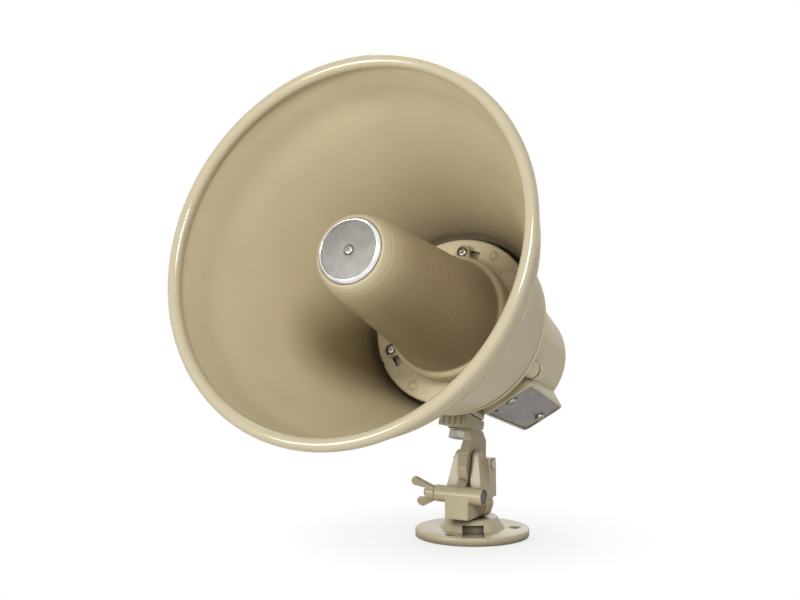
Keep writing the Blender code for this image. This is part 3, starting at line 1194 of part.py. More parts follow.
make_base()
make_retainer()
make_yoke()
make_pivot_pin()
make_clamp_bolt()
make_wing_nut()
make_brake_shoe()
make_tilt_arm()
make_foot_bolt()
make_bell()
make_gasket("bell_gasket", GASKET_Z, BELL_HOLE_R + EDGE, FLANGE_R, False)
make_housing()
make_gasket("can_gasket", CAN_GASKET_Z, CAN_R - CAN_WALL - EDGE, CAN_R, True)
make_reflector_plate()
make_through_screws()
make_reflector()
make_nose()
make_lug_screws()
make_tone_tube()
make_phase_plug()
make_diaphragm()
make_motor()
make_driver_screws()
make_rear_can()
make_cover()
make_terminals()
for piece in PARTS.objects:
    if piece.type == "MESH":
        smooth(piece.data)
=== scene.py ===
"""Folded PA horn speaker: visual pieces, materials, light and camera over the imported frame."""

import math

import bmesh
import bpy
from mathutils import Matrix, Vector


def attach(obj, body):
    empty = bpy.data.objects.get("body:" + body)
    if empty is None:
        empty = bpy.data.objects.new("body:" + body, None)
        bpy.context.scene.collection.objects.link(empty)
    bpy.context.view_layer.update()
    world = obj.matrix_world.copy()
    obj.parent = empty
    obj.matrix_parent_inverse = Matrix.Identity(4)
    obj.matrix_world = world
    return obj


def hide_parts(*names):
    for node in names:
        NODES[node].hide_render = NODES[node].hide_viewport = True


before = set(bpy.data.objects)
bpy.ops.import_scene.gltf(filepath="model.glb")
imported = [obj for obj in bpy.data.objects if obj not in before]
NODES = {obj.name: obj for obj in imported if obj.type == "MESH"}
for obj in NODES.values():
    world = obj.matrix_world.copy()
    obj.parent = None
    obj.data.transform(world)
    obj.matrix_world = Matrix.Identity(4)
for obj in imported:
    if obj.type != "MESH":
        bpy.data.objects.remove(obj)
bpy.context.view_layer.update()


# Places: millimetres in the frame, or along the horn from its neck

TILT = math.radians(21.1)
UP = Vector((0, math.sin(TILT), math.cos(TILT)))
FORWARD = Vector((0, -math.cos(TILT), math.sin(TILT)))
PIVOT = Vector((0, 3.0, 49.5))
BARREL = Vector((0, -18.5, 30.7))
NECK = PIVOT + UP * 80.8 + FORWARD * 53.6
HORN = Matrix.Translation(NECK) @ Matrix.Rotation(math.pi / 2 - TILT, 4, "X")

BOX_ANGLE = math.radians(37)
BOX_RADIUS = 52.8
BOX_LENGTH = 65.8
BOX_SLOPE = math.atan2(3.6, BOX_LENGTH)
BOX_START = (BOX_RADIUS * math.sin(BOX_ANGLE), -BOX_RADIUS * math.cos(BOX_ANGLE), -23.9)
BOX = (HORN @ Matrix.Translation(BOX_START) @ Matrix.Rotation(BOX_ANGLE, 4, "Z")
       @ Matrix.Rotation(math.pi / 2 + BOX_SLOPE, 4, "X"))

WORLD = Matrix.Identity(4)
ALONG_X = Matrix.Rotation(math.pi / 2, 4, "Y")
ALONG_Y = Matrix.Rotation(-math.pi / 2, 4, "X")
MILLIMETRE = Matrix.Scale(0.001, 4)

EAR_RADIUS = 50.5
EAR_ANGLES = (65, 155, 245, 335)
LUG_RADIUS = 46.5
LUG_ANGLES = (90, 210, 330)
DRIVER_RADIUS = 37
DRIVER_ANGLES = (20, 110, 200, 290)
COVER_SCREWS = (-5.2, -57.0)
PLATE_FRONT = 12.5
FOOT_BOLT_HEIGHT = -20
NOSE_HEIGHT = 157
LIP_END = 95.3
BEAD_START = 226.6
SHARP_EDGE = 0.7


# Shapes, drawn in millimetres

def shift(x, y, z):
    return Matrix.Translation((x, y, z))


def spin(degrees):
    """Turn about Z."""
    return Matrix.Rotation(math.radians(degrees), 4, "Z")


def polar(radius, degrees, height=0.0):
    angle = math.radians(degrees)
    return shift(radius * math.cos(angle), radius * math.sin(angle), height)


def to_object(name, shape):
    """Make an object of a bmesh; show() smooths and links it."""
    bmesh.ops.recalc_face_normals(shape, faces=shape.faces)
    mesh = bpy.data.meshes.new(name)
    shape.to_mesh(mesh)
    shape.free()
    return bpy.data.objects.new(name, mesh)


def revolve(name, profile, steps=96, closed=False):
    """Turn (radius, height) points round Z; a closed profile joins its last point to its first."""
    shape = bmesh.new()
    rings = []
    for radius, height in profile:
        if radius < 1e-6:
            rings.append([shape.verts.new((0, 0, height))] * steps)
            continue
        ring = []
        for i in range(steps):
            turn = math.tau * i / steps
            ring.append(shape.verts.new((radius * math.cos(turn), radius * math.sin(turn), height)))
        rings.append(ring)
    pairs = list(zip(rings, rings[1:]))
    if closed:
        pairs.append((rings[-1], rings[0]))
    for one, two in pairs:
        for i in range(steps):
            j = (i + 1) % steps
            corners = []
            for vert in (one[i], one[j], two[j], two[i]):
                if vert not in corners:
                    corners.append(vert)
            if len(corners) > 2:
                shape.faces.new(corners)
    return to_object(name, shape)


def arc(x, y, radius, start, end, count):
    """Points on an arc between two angles in degrees."""
    points = []
    for i in range(count + 1):
        angle = math.radians(start + (end - start) * i / count)
        points.append((x + radius * math.cos(angle), y + radius * math.sin(angle)))
    return points


def rounded(corners, count=6):
    """Closed outline with corners (x, y, radius) rounded off."""
    points = []
    for i, (x, y, radius) in enumerate(corners):
        here = Vector((x, y))
        before = (Vector(corners[i - 1][:2]) - here).normalized()
        after = (Vector(corners[(i + 1) % len(corners)][:2]) - here).normalized()
        reach = radius / math.tan(before.angle(after) / 2)
        start = here + before * reach
        end = here + after * reach
        for k in range(count + 1):
            t = k / count
            points.append(tuple(start * (1 - t) ** 2 + here * 2 * t * (1 - t) + end * t ** 2))
    return points


def slab(name, outline, low, high, bevel=0.0, segments=2):
    """Raise an outline between two heights along Z, with its edges rounded."""
    shape = bmesh.new()
    face = shape.faces.new([shape.verts.new((x, y, low)) for x, y in outline])
    grown = bmesh.ops.extrude_face_region(shape, geom=[face])
    top = [item for item in grown["geom"] if isinstance(item, bmesh.types.BMVert)]
    bmesh.ops.translate(shape, vec=(0, 0, high - low), verts=top)
    bmesh.ops.recalc_face_normals(shape, faces=shape.faces)
    if bevel > 0:
        sharp = [edge for edge in shape.edges if edge.calc_face_angle(0) > SHARP_EDGE]
        bmesh.ops.bevel(shape, geom=sharp, offset=bevel, segments=segments, affect="EDGES",
                        profile=0.5)
    return to_object(name, shape)


def block(name, low, high, bevel=0.0):
    """Box between two corners."""
    outline = [(low[0], low[1]), (high[0], low[1]), (high[0], high[1]), (low[0], high[1])]
    return slab(name, outline, low[2], high[2], bevel)


def disc(name, radius, top, bottom, steps=48, hole=0.0, edge=0.0):
    """Round plate, or a ring where it has a hole, with chamfered rims where it has an edge."""
    rim = [(radius, top), (radius, bottom)]
    if edge > 0:
        rim = [(radius - edge, top), (radius, top - edge),
               (radius, bottom + edge), (radius - edge, bottom)]
    if hole > 0:
        return revolve(name, [(hole, top)] + rim + [(hole, bottom)], steps, True)
    return revolve(name, [(0, top)] + rim + [(0, bottom)], steps)


def put(obj, matrix):
    """Move the mesh itself, so that the object stays at the origin of its frame."""
    obj.data.transform(matrix)
    return obj


def evaluated_mesh(obj):
    """The object's mesh with its modifiers applied."""
    bpy.context.view_layer.update()
    seen = obj.evaluated_get(bpy.context.evaluated_depsgraph_get())
    return bpy.data.meshes.new_from_object(seen)


def boolean(target, tool, operation):
    """Change the target by the tool at once; the tool is used up."""
    for item in (target, tool):
        bpy.context.scene.collection.objects.link(item)
    change = target.modifiers.new("change", "BOOLEAN")
    change.operation = operation
    change.solver = "EXACT"
    change.object = tool
    result = evaluated_mesh(target)
    target.modifiers.clear()
    bpy.context.scene.collection.objects.unlink(target)
    bpy.data.objects.remove(tool, do_unlink=True)
    target.data = result
    return target


def cut(target, tool):
    return boolean(target, tool, "DIFFERENCE")


def fuse(target, tool):
    return boolean(target, tool, "UNION")


def gather(target, *others):
    """Put several meshes into one object."""
    shape = bmesh.new()
    shape.from_mesh(target.data)
    for other in others:
        shape.from_mesh(other.data)
        bpy.data.objects.remove(other, do_unlink=True)
    shape.to_mesh(target.data)
    shape.free()
    return target


def claim(obj, node, body, material):
    """Let an object stand for a node, ride on a body and wear a material."""
    obj.data.materials.clear()
    obj.data.materials.append(material)
    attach(obj, body)
    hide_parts(node)


def show(obj, node, body, material, matrix=WORLD, angle=35):
    """Place a piece that was drawn in millimetres; edges sharper than the angle stay sharp."""
    put(obj, MILLIMETRE @ matrix)
    obj.data.shade_smooth()
    obj.data.set_sharp_from_angle(angle=math.radians(angle))
    obj.name = node + "_detail"
    bpy.context.scene.collection.objects.link(obj)
    claim(obj, node, body, material)


def cast(node, body, material, voxel, rounds, extra=None):
    """A casting: the node's own mesh with its edges softened as thick enamel does."""
    obj = bpy.data.objects.new(node + "_detail", NODES[node].data.copy())
    if extra is not None:
        gather(obj, put(extra, MILLIMETRE))
    bpy.context.scene.collection.objects.link(obj)
    remesh = obj.modifiers.new("skin", "REMESH")
    remesh.mode = "VOXEL"
    remesh.voxel_size = voxel
    soften = obj.modifiers.new("soften", "SMOOTH")
    soften.factor = 0.5
    soften.iterations = rounds
    thin = obj.modifiers.new("thin", "DECIMATE")
    thin.ratio = 0.35
    mesh = evaluated_mesh(obj)
    obj.modifiers.clear()
    obj.data = mesh
    mesh.shade_smooth()
    claim(obj, node, body, material)


# Materials

class Nodes:
    """Short hand for building one material's nodes."""

    def __init__(self, name):
        self.material = bpy.data.materials.new(name)
        self.material.use_nodes = True
        self.tree = self.material.node_tree
        self.shader = self.tree.nodes["Principled BSDF"]

    def add(self, kind, **values):
        """Add a node; each value goes to the socket, or else the property, of that name."""
        node = self.tree.nodes.new(kind)
        for key, value in values.items():
            if key in node.inputs:
                node.inputs[key].default_value = value
            else:
                setattr(node, key, value)
        return node

    def link(self, source, output, target, inlet):
        self.tree.links.new(source.outputs[output], target.inputs[inlet])

    def place(self):
        """Object coordinates in millimetres."""
        coords = self.add("ShaderNodeTexCoord")
        scale = self.add("ShaderNodeVectorMath", operation="SCALE", Scale=1000.0)
        self.link(coords, "Object", scale, 0)
        return scale

    def along_horn(self, where):
        """How far a place lies along the horn's axis, in millimetres from the frame's origin."""
        node = self.add("ShaderNodeVectorMath", operation="DOT_PRODUCT")
        self.link(where, 0, node, 0)
        node.inputs[1].default_value = tuple(FORWARD)
        return node

    def noise(self, where, scale, detail=3.0, rough=0.5):
        node = self.add("ShaderNodeTexNoise", Scale=scale, Detail=detail, Roughness=rough)
        self.link(where, 0, node, "Vector")
        return node

    def hollow(self, distance, samples=6):
        """Ambient occlusion: 1 in the open, near 0 in a hollow narrower than the distance."""
        return self.add("ShaderNodeAmbientOcclusion", samples=samples, Distance=distance)

    def ramp(self, source, output, low, high, first, last):
        """Map low..high to first..last."""
        node = self.add("ShaderNodeMapRange")
        limits = {"From Min": low, "From Max": high, "To Min": first, "To Max": last}
        for key, value in limits.items():
            node.inputs[key].default_value = value
        self.link(source, output, node, "Value")
        return node

    def product(self, one, two):
        node = self.add("ShaderNodeMath", operation="MULTIPLY")
        self.link(one, 0, node, 0)
        self.link(two, 0, node, 1)
        return node

    def mix(self, factor, one, two, blend="MIX"):
        """Mix two colours; the first is a colour or an earlier mix."""
        node = self.add("ShaderNodeMix", data_type="RGBA", blend_type=blend)
        self.link(factor, 0, node, 0)
        if hasattr(one, "outputs"):
            self.link(one, 2, node, 6)
        else:
            node.inputs[6].default_value = (*one, 1.0)
        node.inputs[7].default_value = (*two, 1.0)
        return node

    def bump(self, source, strength, distance, normal=None):
        node = self.add("ShaderNodeBump", Strength=strength, Distance=distance)
        self.link(source, 0, node, "Height")
        if normal is not None:
            self.link(normal, 0, node, "Normal")
        return node

    def soft_edges(self, radius):
        return self.add("ShaderNodeBevel", samples=6, Radius=radius)

    def finish(self, tone, normal):
        """Connect the colour and the bumps, and hand over the material."""
        self.link(tone, 2, self.shader, "Base Color")
        self.link(normal, 0, self.shader, "Normal")
        return self.material


ENAMEL = (0.600, 0.520, 0.345)
ENAMEL_DARK = (0.545, 0.465, 0.298)
SPECKLE = (0.30, 0.235, 0.13)
# The next three colours are painted shade: for corners, for narrow gaps and for deep hollows.
PAINTED_CORNER_SHADE = (0.17, 0.130, 0.075)
PAINTED_GAP_SHADE = (0.035, 0.030, 0.028)
PAINTED_DEPTH_SHADE = (0.200, 0.148, 0.092)
STREAK = (0.66, 0.61, 0.54)
# How far the painted shade of corners and of deep hollows reaches, in metres.
CORNER_SHADE_REACH = 0.006
DEPTH_SHADE_REACH = 0.085
ENAMEL_EDGE = 0.0004
METAL_EDGE = 0.0002
TURNED_EDGE = 0.0003


def scaled(color, factor):
    return [value * factor for value in color]


def enamel(name, rings=False, depth_shade=0.62, reach=(0.13, 0.58), gap_shade=(0.014, 0.48),
           bead=False, shade=1.0, corner_shade=0.62, specular=0.35):
    """Baked beige enamel: slight mottle, specks, fine orange peel, and painted shade in corners,
    narrow gaps and deep hollows.

    grime and reach say how strongly, and from what openness down, deep hollows are browned as
    painted shade.
    crevice gives the width in metres of the narrow gaps that are painted nearly black as shade, and
    their openness.
    rings adds lathe streaks across the horn and keeps the painted shade of deep hollows off all
    behind LIP_END.
    bead polishes what lies beyond BEAD_START and paints it darker, as painted shade on the brightly
    lit bead.
    """
    n = Nodes(name)
    where = n.place()
    cloud = n.noise(where, 0.035, 4.0, 0.6)
    cloud_mask = n.ramp(cloud, 0, 0.25, 0.62, 0.45, 1.0)
    # Painted light and shade: shade scales the whole colour, so lighter and darker copies of this
    # enamel stand for lit parts and parts in shade.
    tone = n.mix(cloud_mask, scaled(ENAMEL_DARK, shade), scaled(ENAMEL, shade))
    speck = n.noise(where, 5.5, 1.0, 0.4)
    speck_mask = n.ramp(speck, 0, 0.70, 0.78, 0.0, 0.35)
    tone = n.mix(speck_mask, tone, SPECKLE)
    # Painted shade: corners a few millimetres across are darkened by ambient occlusion.
    corner_shade_mask = n.ramp(n.hollow(CORNER_SHADE_REACH), "AO", 0.30, 0.92, corner_shade, 0.0)
    tone = n.mix(corner_shade_mask, tone, PAINTED_CORNER_SHADE)
    # Painted shade: narrow gaps go nearly black, as if no light reached them.
    gap_shade_mask = n.ramp(n.hollow(gap_shade[0]), "AO", 0.08, gap_shade[1], 0.94, 0.0)
    tone = n.mix(gap_shade_mask, tone, PAINTED_GAP_SHADE)
    # Painted shade: the deep parts of the horn, and what lies under it, are browned by wide ambient
    # occlusion.
    depth_shade_mask = n.ramp(n.hollow(DEPTH_SHADE_REACH, 8), "AO", reach[0], reach[1], depth_shade, 0.0)
    if rings:
        along = n.along_horn(where)
        before_lip = n.ramp(along, "Value", LIP_END - 1.5, LIP_END + 1.5, 0.0, 1.0)
        depth_shade_mask = n.product(depth_shade_mask, before_lip)
    tone = n.mix(depth_shade_mask, tone, PAINTED_DEPTH_SHADE)
    if rings:
        line = n.add("ShaderNodeCombineXYZ")
        n.link(along, "Value", line, 0)
        streak = n.noise(line, 0.42, 4.0, 0.7)
        streak_mask = n.ramp(streak, 0, 0.40, 0.66, 0.0, 0.50)
        tone = n.mix(streak_mask, tone, STREAK, "MULTIPLY")
    n.shader.inputs["Coat Weight"].default_value = 0.20
    n.shader.inputs["Coat Roughness"].default_value = 0.09
    n.shader.inputs["Specular IOR Level"].default_value = specular
    if bead:
        front = n.along_horn(where)
        bead_polish_and_shade = n.ramp(front, "Value", BEAD_START - 1.0, BEAD_START + 1.0, 0.04, 1.0)
        n.link(bead_polish_and_shade, 0, n.shader, "Coat Weight")
        # Painted shade: the bead's colour is darkened to tone down the light it catches.
        tone = n.mix(bead_polish_and_shade, tone, scaled(ENAMEL, 0.80))
    fine = n.noise(where, 1.6, 2.0, 0.5)
    gloss = n.ramp(fine, 0, 0.3, 0.7, 0.40, 0.50)
    n.link(gloss, 0, n.shader, "Roughness")
    peel = n.bump(fine, 0.10, 0.0004, n.soft_edges(ENAMEL_EDGE))
    return n.finish(tone, peel)


def metal(name, color, rough, grain=2.0, stain=0.25, metallic=1.0):
    """Plated or bare metal with uneven sheen, small scratches and softened edges."""
    n = Nodes(name)
    where = n.place()
    cloud = n.noise(where, 0.25, 4.0, 0.65)
    stain_mask = n.ramp(cloud, 0, 0.45, 0.75, 0.0, stain)
    tone = n.mix(stain_mask, color, scaled(color, 0.62))
    fine = n.noise(where, grain, 3.0, 0.6)
    gloss = n.ramp(fine, 0, 0.3, 0.7, rough * 0.8, rough * 1.25)
    n.link(gloss, 0, n.shader, "Roughness")
    n.shader.inputs["Metallic"].default_value = metallic
    scratch = n.bump(fine, 0.08, 0.0002, n.soft_edges(METAL_EDGE))
    return n.finish(tone, scratch)


def turned_metal(name, color, rough, centre, strength):
    """Aluminium with fine rings left by the lathe about a centre on the horn's axis."""
    n = Nodes(name)
    where = n.place()
    offset = n.add("ShaderNodeVectorMath", operation="SUBTRACT")
    n.link(where, 0, offset, 0)
    offset.inputs[1].default_value = centre
    across = n.add("ShaderNodeVectorMath", operation="LENGTH")
    n.link(offset, 0, across, 0)
    line = n.add("ShaderNodeCombineXYZ")
    n.link(across, "Value", line, 0)
    rings = n.noise(line, 7.0, 3.0, 0.7)
    grain = n.noise(where, 3.2, 4.0, 0.7)
    cloud = n.noise(where, 0.12, 3.0, 0.6)
    cloud_mask = n.ramp(cloud, 0, 0.35, 0.7, 0.0, 0.8)
    tone = n.mix(cloud_mask, color, scaled(color, 0.75))
    gloss = n.ramp(grain, 0, 0.3, 0.7, rough * 0.8, rough * 1.3)
    n.link(gloss, 0, n.shader, "Roughness")
    n.shader.inputs["Metallic"].default_value = 1.0
    lathe = n.bump(rings, strength, 0.0001, n.soft_edges(TURNED_EDGE))
    pitted = n.bump(grain, strength * 0.5, 0.0001, lathe)
    return n.finish(tone, pitted)


def plastic(name, color, rough, grain=1.2):
    """Moulded plastic or rubber with a fine texture."""
    n = Nodes(name)
    where = n.place()
    cloud = n.noise(where, 0.2, 3.0, 0.6)
    tone = n.mix(cloud, color, [min(1.0, value * 1.35 + 0.004) for value in color])
    fine = n.noise(where, grain, 4.0, 0.6)
    gloss = n.ramp(fine, 0, 0.3, 0.7, rough * 0.85, min(1.0, rough * 1.15))
    n.link(gloss, 0, n.shader, "Roughness")
    skin = n.bump(fine, 0.15, 0.0003, n.soft_edges(METAL_EDGE))
    return n.finish(tone, skin)


def winding(name):
    """Enamelled copper wire wound about the horn's axis."""
    n = Nodes(name)
    turns = n.add("ShaderNodeMath", operation="MULTIPLY")
    n.link(n.along_horn(n.place()), "Value", turns, 0)
    turns.inputs[1].default_value = 22.0
    wave = n.add("ShaderNodeMath", operation="SINE")
    n.link(turns, 0, wave, 0)
    wire_mask = n.ramp(wave, 0, -1.0, 1.0, 0.0, 1.0)
    tone = n.mix(wire_mask, (0.28, 0.10, 0.035), (0.75, 0.33, 0.13))
    n.shader.inputs["Metallic"].default_value = 1.0
    n.shader.inputs["Roughness"].default_value = 0.3
    return n.finish(tone, n.bump(wave, 0.5, 0.0001))


NOSE = tuple(HORN @ Vector((0, 0, NOSE_HEIGHT)))
# Every enamel paints shade into corners, narrow gaps and deep hollows; the bell's gap round the
# plate and the base's strap windows are painted darkest.
BEIGE = enamel("beige_enamel")
BEIGE_RINGS = enamel("beige_enamel_turned", rings=True, depth_shade=0.70, reach=(0.45, 1.0), corner_shade=0.20)
BEIGE_BELL = enamel("beige_enamel_bell", gap_shade=(0.040, 0.62), bead=True, specular=0.20)
BEIGE_BASE = enamel("beige_enamel_base", depth_shade=0.0, gap_shade=(0.050, 0.78))
# Painted light and shade: the plate is made lighter, and the bracket and arm darker, as if lit and
# in shade.
BEIGE_PLATE_LIT = enamel("beige_enamel_plate_painted_light", depth_shade=0.0, corner_shade=0.30, shade=1.08)
BEIGE_BRACKET_SHADED = enamel("beige_enamel_bracket_painted_shade", depth_shade=0.25, shade=0.82)
BEIGE_ARM_SHADED = enamel("beige_enamel_arm_painted_shade", depth_shade=0.5, shade=0.70)
ZINC = metal("zinc_plate", (0.46, 0.435, 0.38), 0.30)
DARK_STEEL = metal("dark_steel", (0.16, 0.155, 0.15), 0.42, stain=0.5)
STEEL = metal("plain_steel", (0.50, 0.465, 0.385), 0.42)
BRIGHT = turned_metal("polished_aluminium", (0.94, 0.96, 0.99), 0.16, NOSE, 0.10)
BRUSHED = turned_metal("brushed_aluminium", (0.30, 0.285, 0.262), 0.60, NOSE, 0.30)
GREY = metal("grey_cover", (0.28, 0.26, 0.245), 0.30, 1.2, stain=0.7, metallic=0.75)
RUBBER = plastic("black_rubber", (0.018, 0.017, 0.016), 0.75)
BLACK_PLASTIC = plastic("black_plastic", (0.022, 0.022, 0.024), 0.42)
FERRITE = plastic("ferrite", (0.035, 0.034, 0.036), 0.62, 2.5)
RESIN = plastic("resin_film", (0.30, 0.15, 0.05), 0.35, 3.0)
BRASS = metal("plain_brass", (0.72, 0.52, 0.20), 0.28)
COPPER = winding("copper_winding")


# Head: bell, reflector, plate, can and housing, with heights along the horn

FLARE_NECK = 60.0
FLARE_GROWTH = math.log(109.9 / FLARE_NECK) / 129.4


def flare_radius(height):
    return FLARE_NECK * math.exp(FLARE_GROWTH * height)


def bell_inside(height):
    """Inner radius: the flare runs smoothly into the straight band."""
    flare = flare_radius(height) - 1.5
    band = 116.9 - 0.286 * (157.8 - height)
    t = min(1.0, max(0.0, (height - 116.0) / 30.0))
    weight = t * t * (3 - 2 * t)
    return flare * (1 - weight) + band * weight


def bell_profile():
    """Spun bell as a closed section, from the rolled bead down the outside and up the inside."""
    bead = arc(119.7, 162.7, 4.3, 232, -104, 40)
    groove = [(118.3, 158.4), (117.4, 158.15), (117.3, 157.5), (118.2, 157.0)]
    band = [(118.25, 156.7), (117.2, 153.0), (114.5, 143.5), (112.2, 135.4), (111.35, 132.0)]
    crease = [(111.6, 131.6), (111.75, 131.1), (111.65, 130.6), (111.3, 130.2), (110.7, 129.9),
              (109.75, 129.7)]
    flare = [(flare_radius(z), z) for z in [127 - 2.95 * i for i in range(42)]]
    neck = arc(60.0, 1.65, 1.6, 78, -80, 8)
    floor = [(58.5, -0.3), (14.0, -0.3), (14.0, 1.2), (55.0, 1.2), (56.6, 1.5), (57.6, 2.4),
             (58.5, 4.2)]
    inner = [(bell_inside(z), z) for z in [6.05 + 3.2 * i for i in range(48)]]
    return bead + groove + band + crease + flare + neck + floor + inner


def cone_radius(height):
    """Radius of the bullet's side over the plate, which flares a little towards its lip."""
    rest = max(0.0, (47.5 - height) / 33.0)
    return 26.8 + 0.0805 * (138.9 - height) + 1.7 * rest ** 2


def make_lug():
    """Screw lug of the reflector, on +X, with a well for the screw's head."""
    root = [(39.4, -10.6), (40.9, -8.6), (42.0, -7.2), (43.1, -6.1), (44.3, -5.3), (45.6, -4.85)]
    outline = root + arc(LUG_RADIUS, 0, 4.8, -84, 84, 22) + [(x, -y) for x, y in reversed(root)]
    lug = slab("lug", outline, PLATE_FRONT + 0.3, PLATE_FRONT + 4.6, 0.9, 4)
    well = revolve("well", [(0, 25), (4.3, 25), (4.3, 17.3), (3.8, 16.7), (3.7, 15.1), (0, 15.1)],
                   40)
    return cut(lug, put(well, polar(LUG_RADIUS, 0)))


def make_reflector():
    """Bullet with a closed nose, turned lip and three screw lugs."""
    start = PLATE_FRONT
    seat = [(0, 149.4), (1.9, 149.4), (1.9, 156.4), (21.4, 156.4), (21.4, 156.8)]
    nose = [(21.9, 156.85), (22.5, 156.4), (23.1, 155.6), (23.9, 154.2), (24.8, 152.2),
            (25.6, 149.6), (26.3, 146.4), (26.95, 142.6), (27.5, 138.6)]
    side = [(cone_radius(h), start + h) for h in [121.5 - 3.05 * i for i in range(36)]]
    lip = [(38.6, 26.2), (38.95, 25.55), (39.5, 25.1), (40.2, 24.75), (40.95, 24.25),
           (41.55, 23.55), (41.95, 22.7), (42.1, 21.8), (42.1, 20.6), (41.9, start)]
    inside = [(36.7, start), (35.9, start + 9.6), (cone_radius(50) - 2.2, start + 50),
              (25.0, 140.0), (21.2, 150.6), (5.5, 150.6), (5.5, 146.9), (0, 146.9)]
    cone = revolve("reflector", seat + nose + side + lip + inside, 144)
    return gather(cone, *[put(make_lug(), spin(degrees)) for degrees in LUG_ANGLES])


def make_plate():
    """Plate behind the reflector with its dimples, posts, pockets, notch and moulding marks."""
    rim = [(38.5, 12.2), (55.0, 12.2), (55.9, 12.05), (56.7, 11.6), (57.1, 10.9), (57.1, 9.2),
           (56.6, 8.2), (38.5, 8.2)]
    plate = revolve("plate", rim, 144, True)
    pocket_corners = [(-3.0, -3.4, 0.8), (2.6, -4.1, 0.8), (2.6, 4.1, 0.8), (-3.0, 3.4, 0.8)]
    for degrees in (81.5, 218.5, 321.5):
        pocket = slab("pocket", rounded(pocket_corners, 3), 10.0, 15)
        cut(plate, put(pocket, spin(degrees) @ shift(46.4, 0, 0)))
    cut(plate, put(block("notch", (56.0, -1.8, 5), (60, 1.8, 15)), spin(214)))
    dimple = [(0, 13.9), (0.9, 13.82), (1.7, 13.55), (2.4, 13.15), (2.9, 12.75), (3.15, 12.5),
              (3.5, 12.2), (3.9, 12.1), (0, 12.1)]
    extras = []
    for degrees in EAR_ANGLES:
        extras.append(put(revolve("dimple", dimple, 40), polar(EAR_RADIUS, degrees)))
        extras.append(put(disc("post", 4.2, 9.0, 1.5, 40, 0, 0.3), polar(EAR_RADIUS, degrees)))
    for degrees, size in ((42, 6.2), (231, 5.0), (140, 5.6)):
        mark = revolve("mark", arc(size, 12.18, 0.24, 0, 345, 7), 56, True)
        extras.append(put(mark, polar(45.5, degrees)))
    return gather(plate, *extras)


def phillips(radius, height, shank, length, steps=40):
    """Pan head screw standing on z = 0 with a cross recess; the shank runs down."""
    dome = radius * 0.55
    side = arc(radius * 0.45, height * 0.5, dome, 90, 0, 8)
    scale = height / (height * 0.5 + dome)
    profile = [(0, height)] + [(r, z * scale) for r, z in side]
    profile += [(radius, 0), (shank, 0), (shank, -length), (0, -length)]
    screw = revolve("screw", profile, steps)
    reach = radius * 0.6
    width = radius * 0.13
    for turn in (20, 110):
        wing = block("wing", (-reach, -width, height * 0.25), (reach, width, height + 1))
        cut(screw, put(wing, spin(turn)))
    pit = [(0, height + 1), (radius * 0.34, height + 1), (radius * 0.2, height * 0.1),
           (0, height * 0.05)]
    return cut(screw, revolve("pit", pit, 8))


def box_outline(inset):
    """Outline of the terminal box, narrower towards the back, drawn in by an inset."""
    front, back = -inset, inset - BOX_LENGTH
    corner = 5.0 - inset
    return rounded([(-19 + inset, front, 0.8), (19 - inset, front, 0.8),
                    (16 - inset, back, corner), (-16 + inset, back, corner)])


def make_can():
    """Rear can with four ears and the open terminal box."""
    into_horn = HORN.inverted() @ BOX
    shell = [(0, -23.5), (46.5, -23.5), (47.0, -24.0), (47.0, -34.5)]
    shell += arc(35.8, -86.0, 4.0, 4, -90, 10) + [(0, -90.0)]
    can = revolve("can", shell, 128)
    for degrees in EAR_ANGLES:
        ear = disc("ear", 6.0, -23.5, -28.3, 48, 0, 0.5)
        fuse(can, put(ear, polar(EAR_RADIUS, degrees)))
    fuse(can, put(slab("box", box_outline(0), -20, 0, 0.45), into_horn))
    hollow = [(0, -20), (44.6, -20), (44.6, -34.5)]
    hollow += arc(35.8, -86.0, 1.6, 4, -90, 5) + [(0, -87.6)]
    cut(can, revolve("hollow", hollow, 64))
    cut(can, put(slab("seat", box_outline(1.6), -1.9, 5), into_horn))
    shallow = slab("shallow", box_outline(3.2), -4.8, 5)
    for y in COVER_SCREWS:
        cut(shallow, put(disc("boss", 3.8, 9, -20, 32), shift(0, y, 0)))
    cut(can, put(shallow, into_horn))
    cut(can, put(block("well", (-12, -53, -8), (12, -38, 5)), into_horn))
    for y in COVER_SCREWS:
        cut(can, put(disc("hole", 1.8, 5, -5.6, 24), into_horn @ shift(0, y, 0)))
    for degrees in EAR_ANGLES:
        cut(can, put(disc("hole", 2.3, -20, -30, 24), polar(EAR_RADIUS, degrees)))
    return can


def make_housing():
    """Throat casting: flange, body, ear columns and the foot for the clamp."""
    body = [(8.0, -1.9), (56.4, -1.9), (57.0, -2.5), (57.0, -6.3), (56.4, -6.9), (48.6, -6.9),
            (47.6, -7.4), (47.2, -8.4), (47.2, -21.9), (15.0, -21.9), (8.0, -7.9)]
    housing = revolve("housing", body, 128, True)
    for degrees in EAR_ANGLES:
        ear = disc("ear", 6.0, -6.4, -21.9, 48, 0, 0.5)
        fuse(housing, put(ear, polar(EAR_RADIUS, degrees)))
    fuse(housing, block("root", (-9.9, -54.6, -21.3), (9.9, -41.2, -11.6)))
    fuse(housing, block("foot", (-10.5, -55.2, -36.0), (10.5, -48.0, -11.0), 0.7))
    cut(housing, disc("socket", 12.3, 0, -7.9, 48))
    tapped = disc("tapped", 3.3, -49.3, -60, 32)
    cut(housing, put(tapped, shift(0, 0, FOOT_BOLT_HEIGHT) @ ALONG_Y))
    for degrees in EAR_ANGLES:
        cut(housing, put(disc("hole", 2.3, 0, -30, 24), polar(EAR_RADIUS, degrees)))
    for degrees in DRIVER_ANGLES:
        cut(housing, put(disc("hole", 4.1, 0, -4.6, 24), polar(DRIVER_RADIUS, degrees)))
        cut(housing, put(disc("hole", 2.3, 0, -30, 24), polar(DRIVER_RADIUS, degrees)))
    return housing


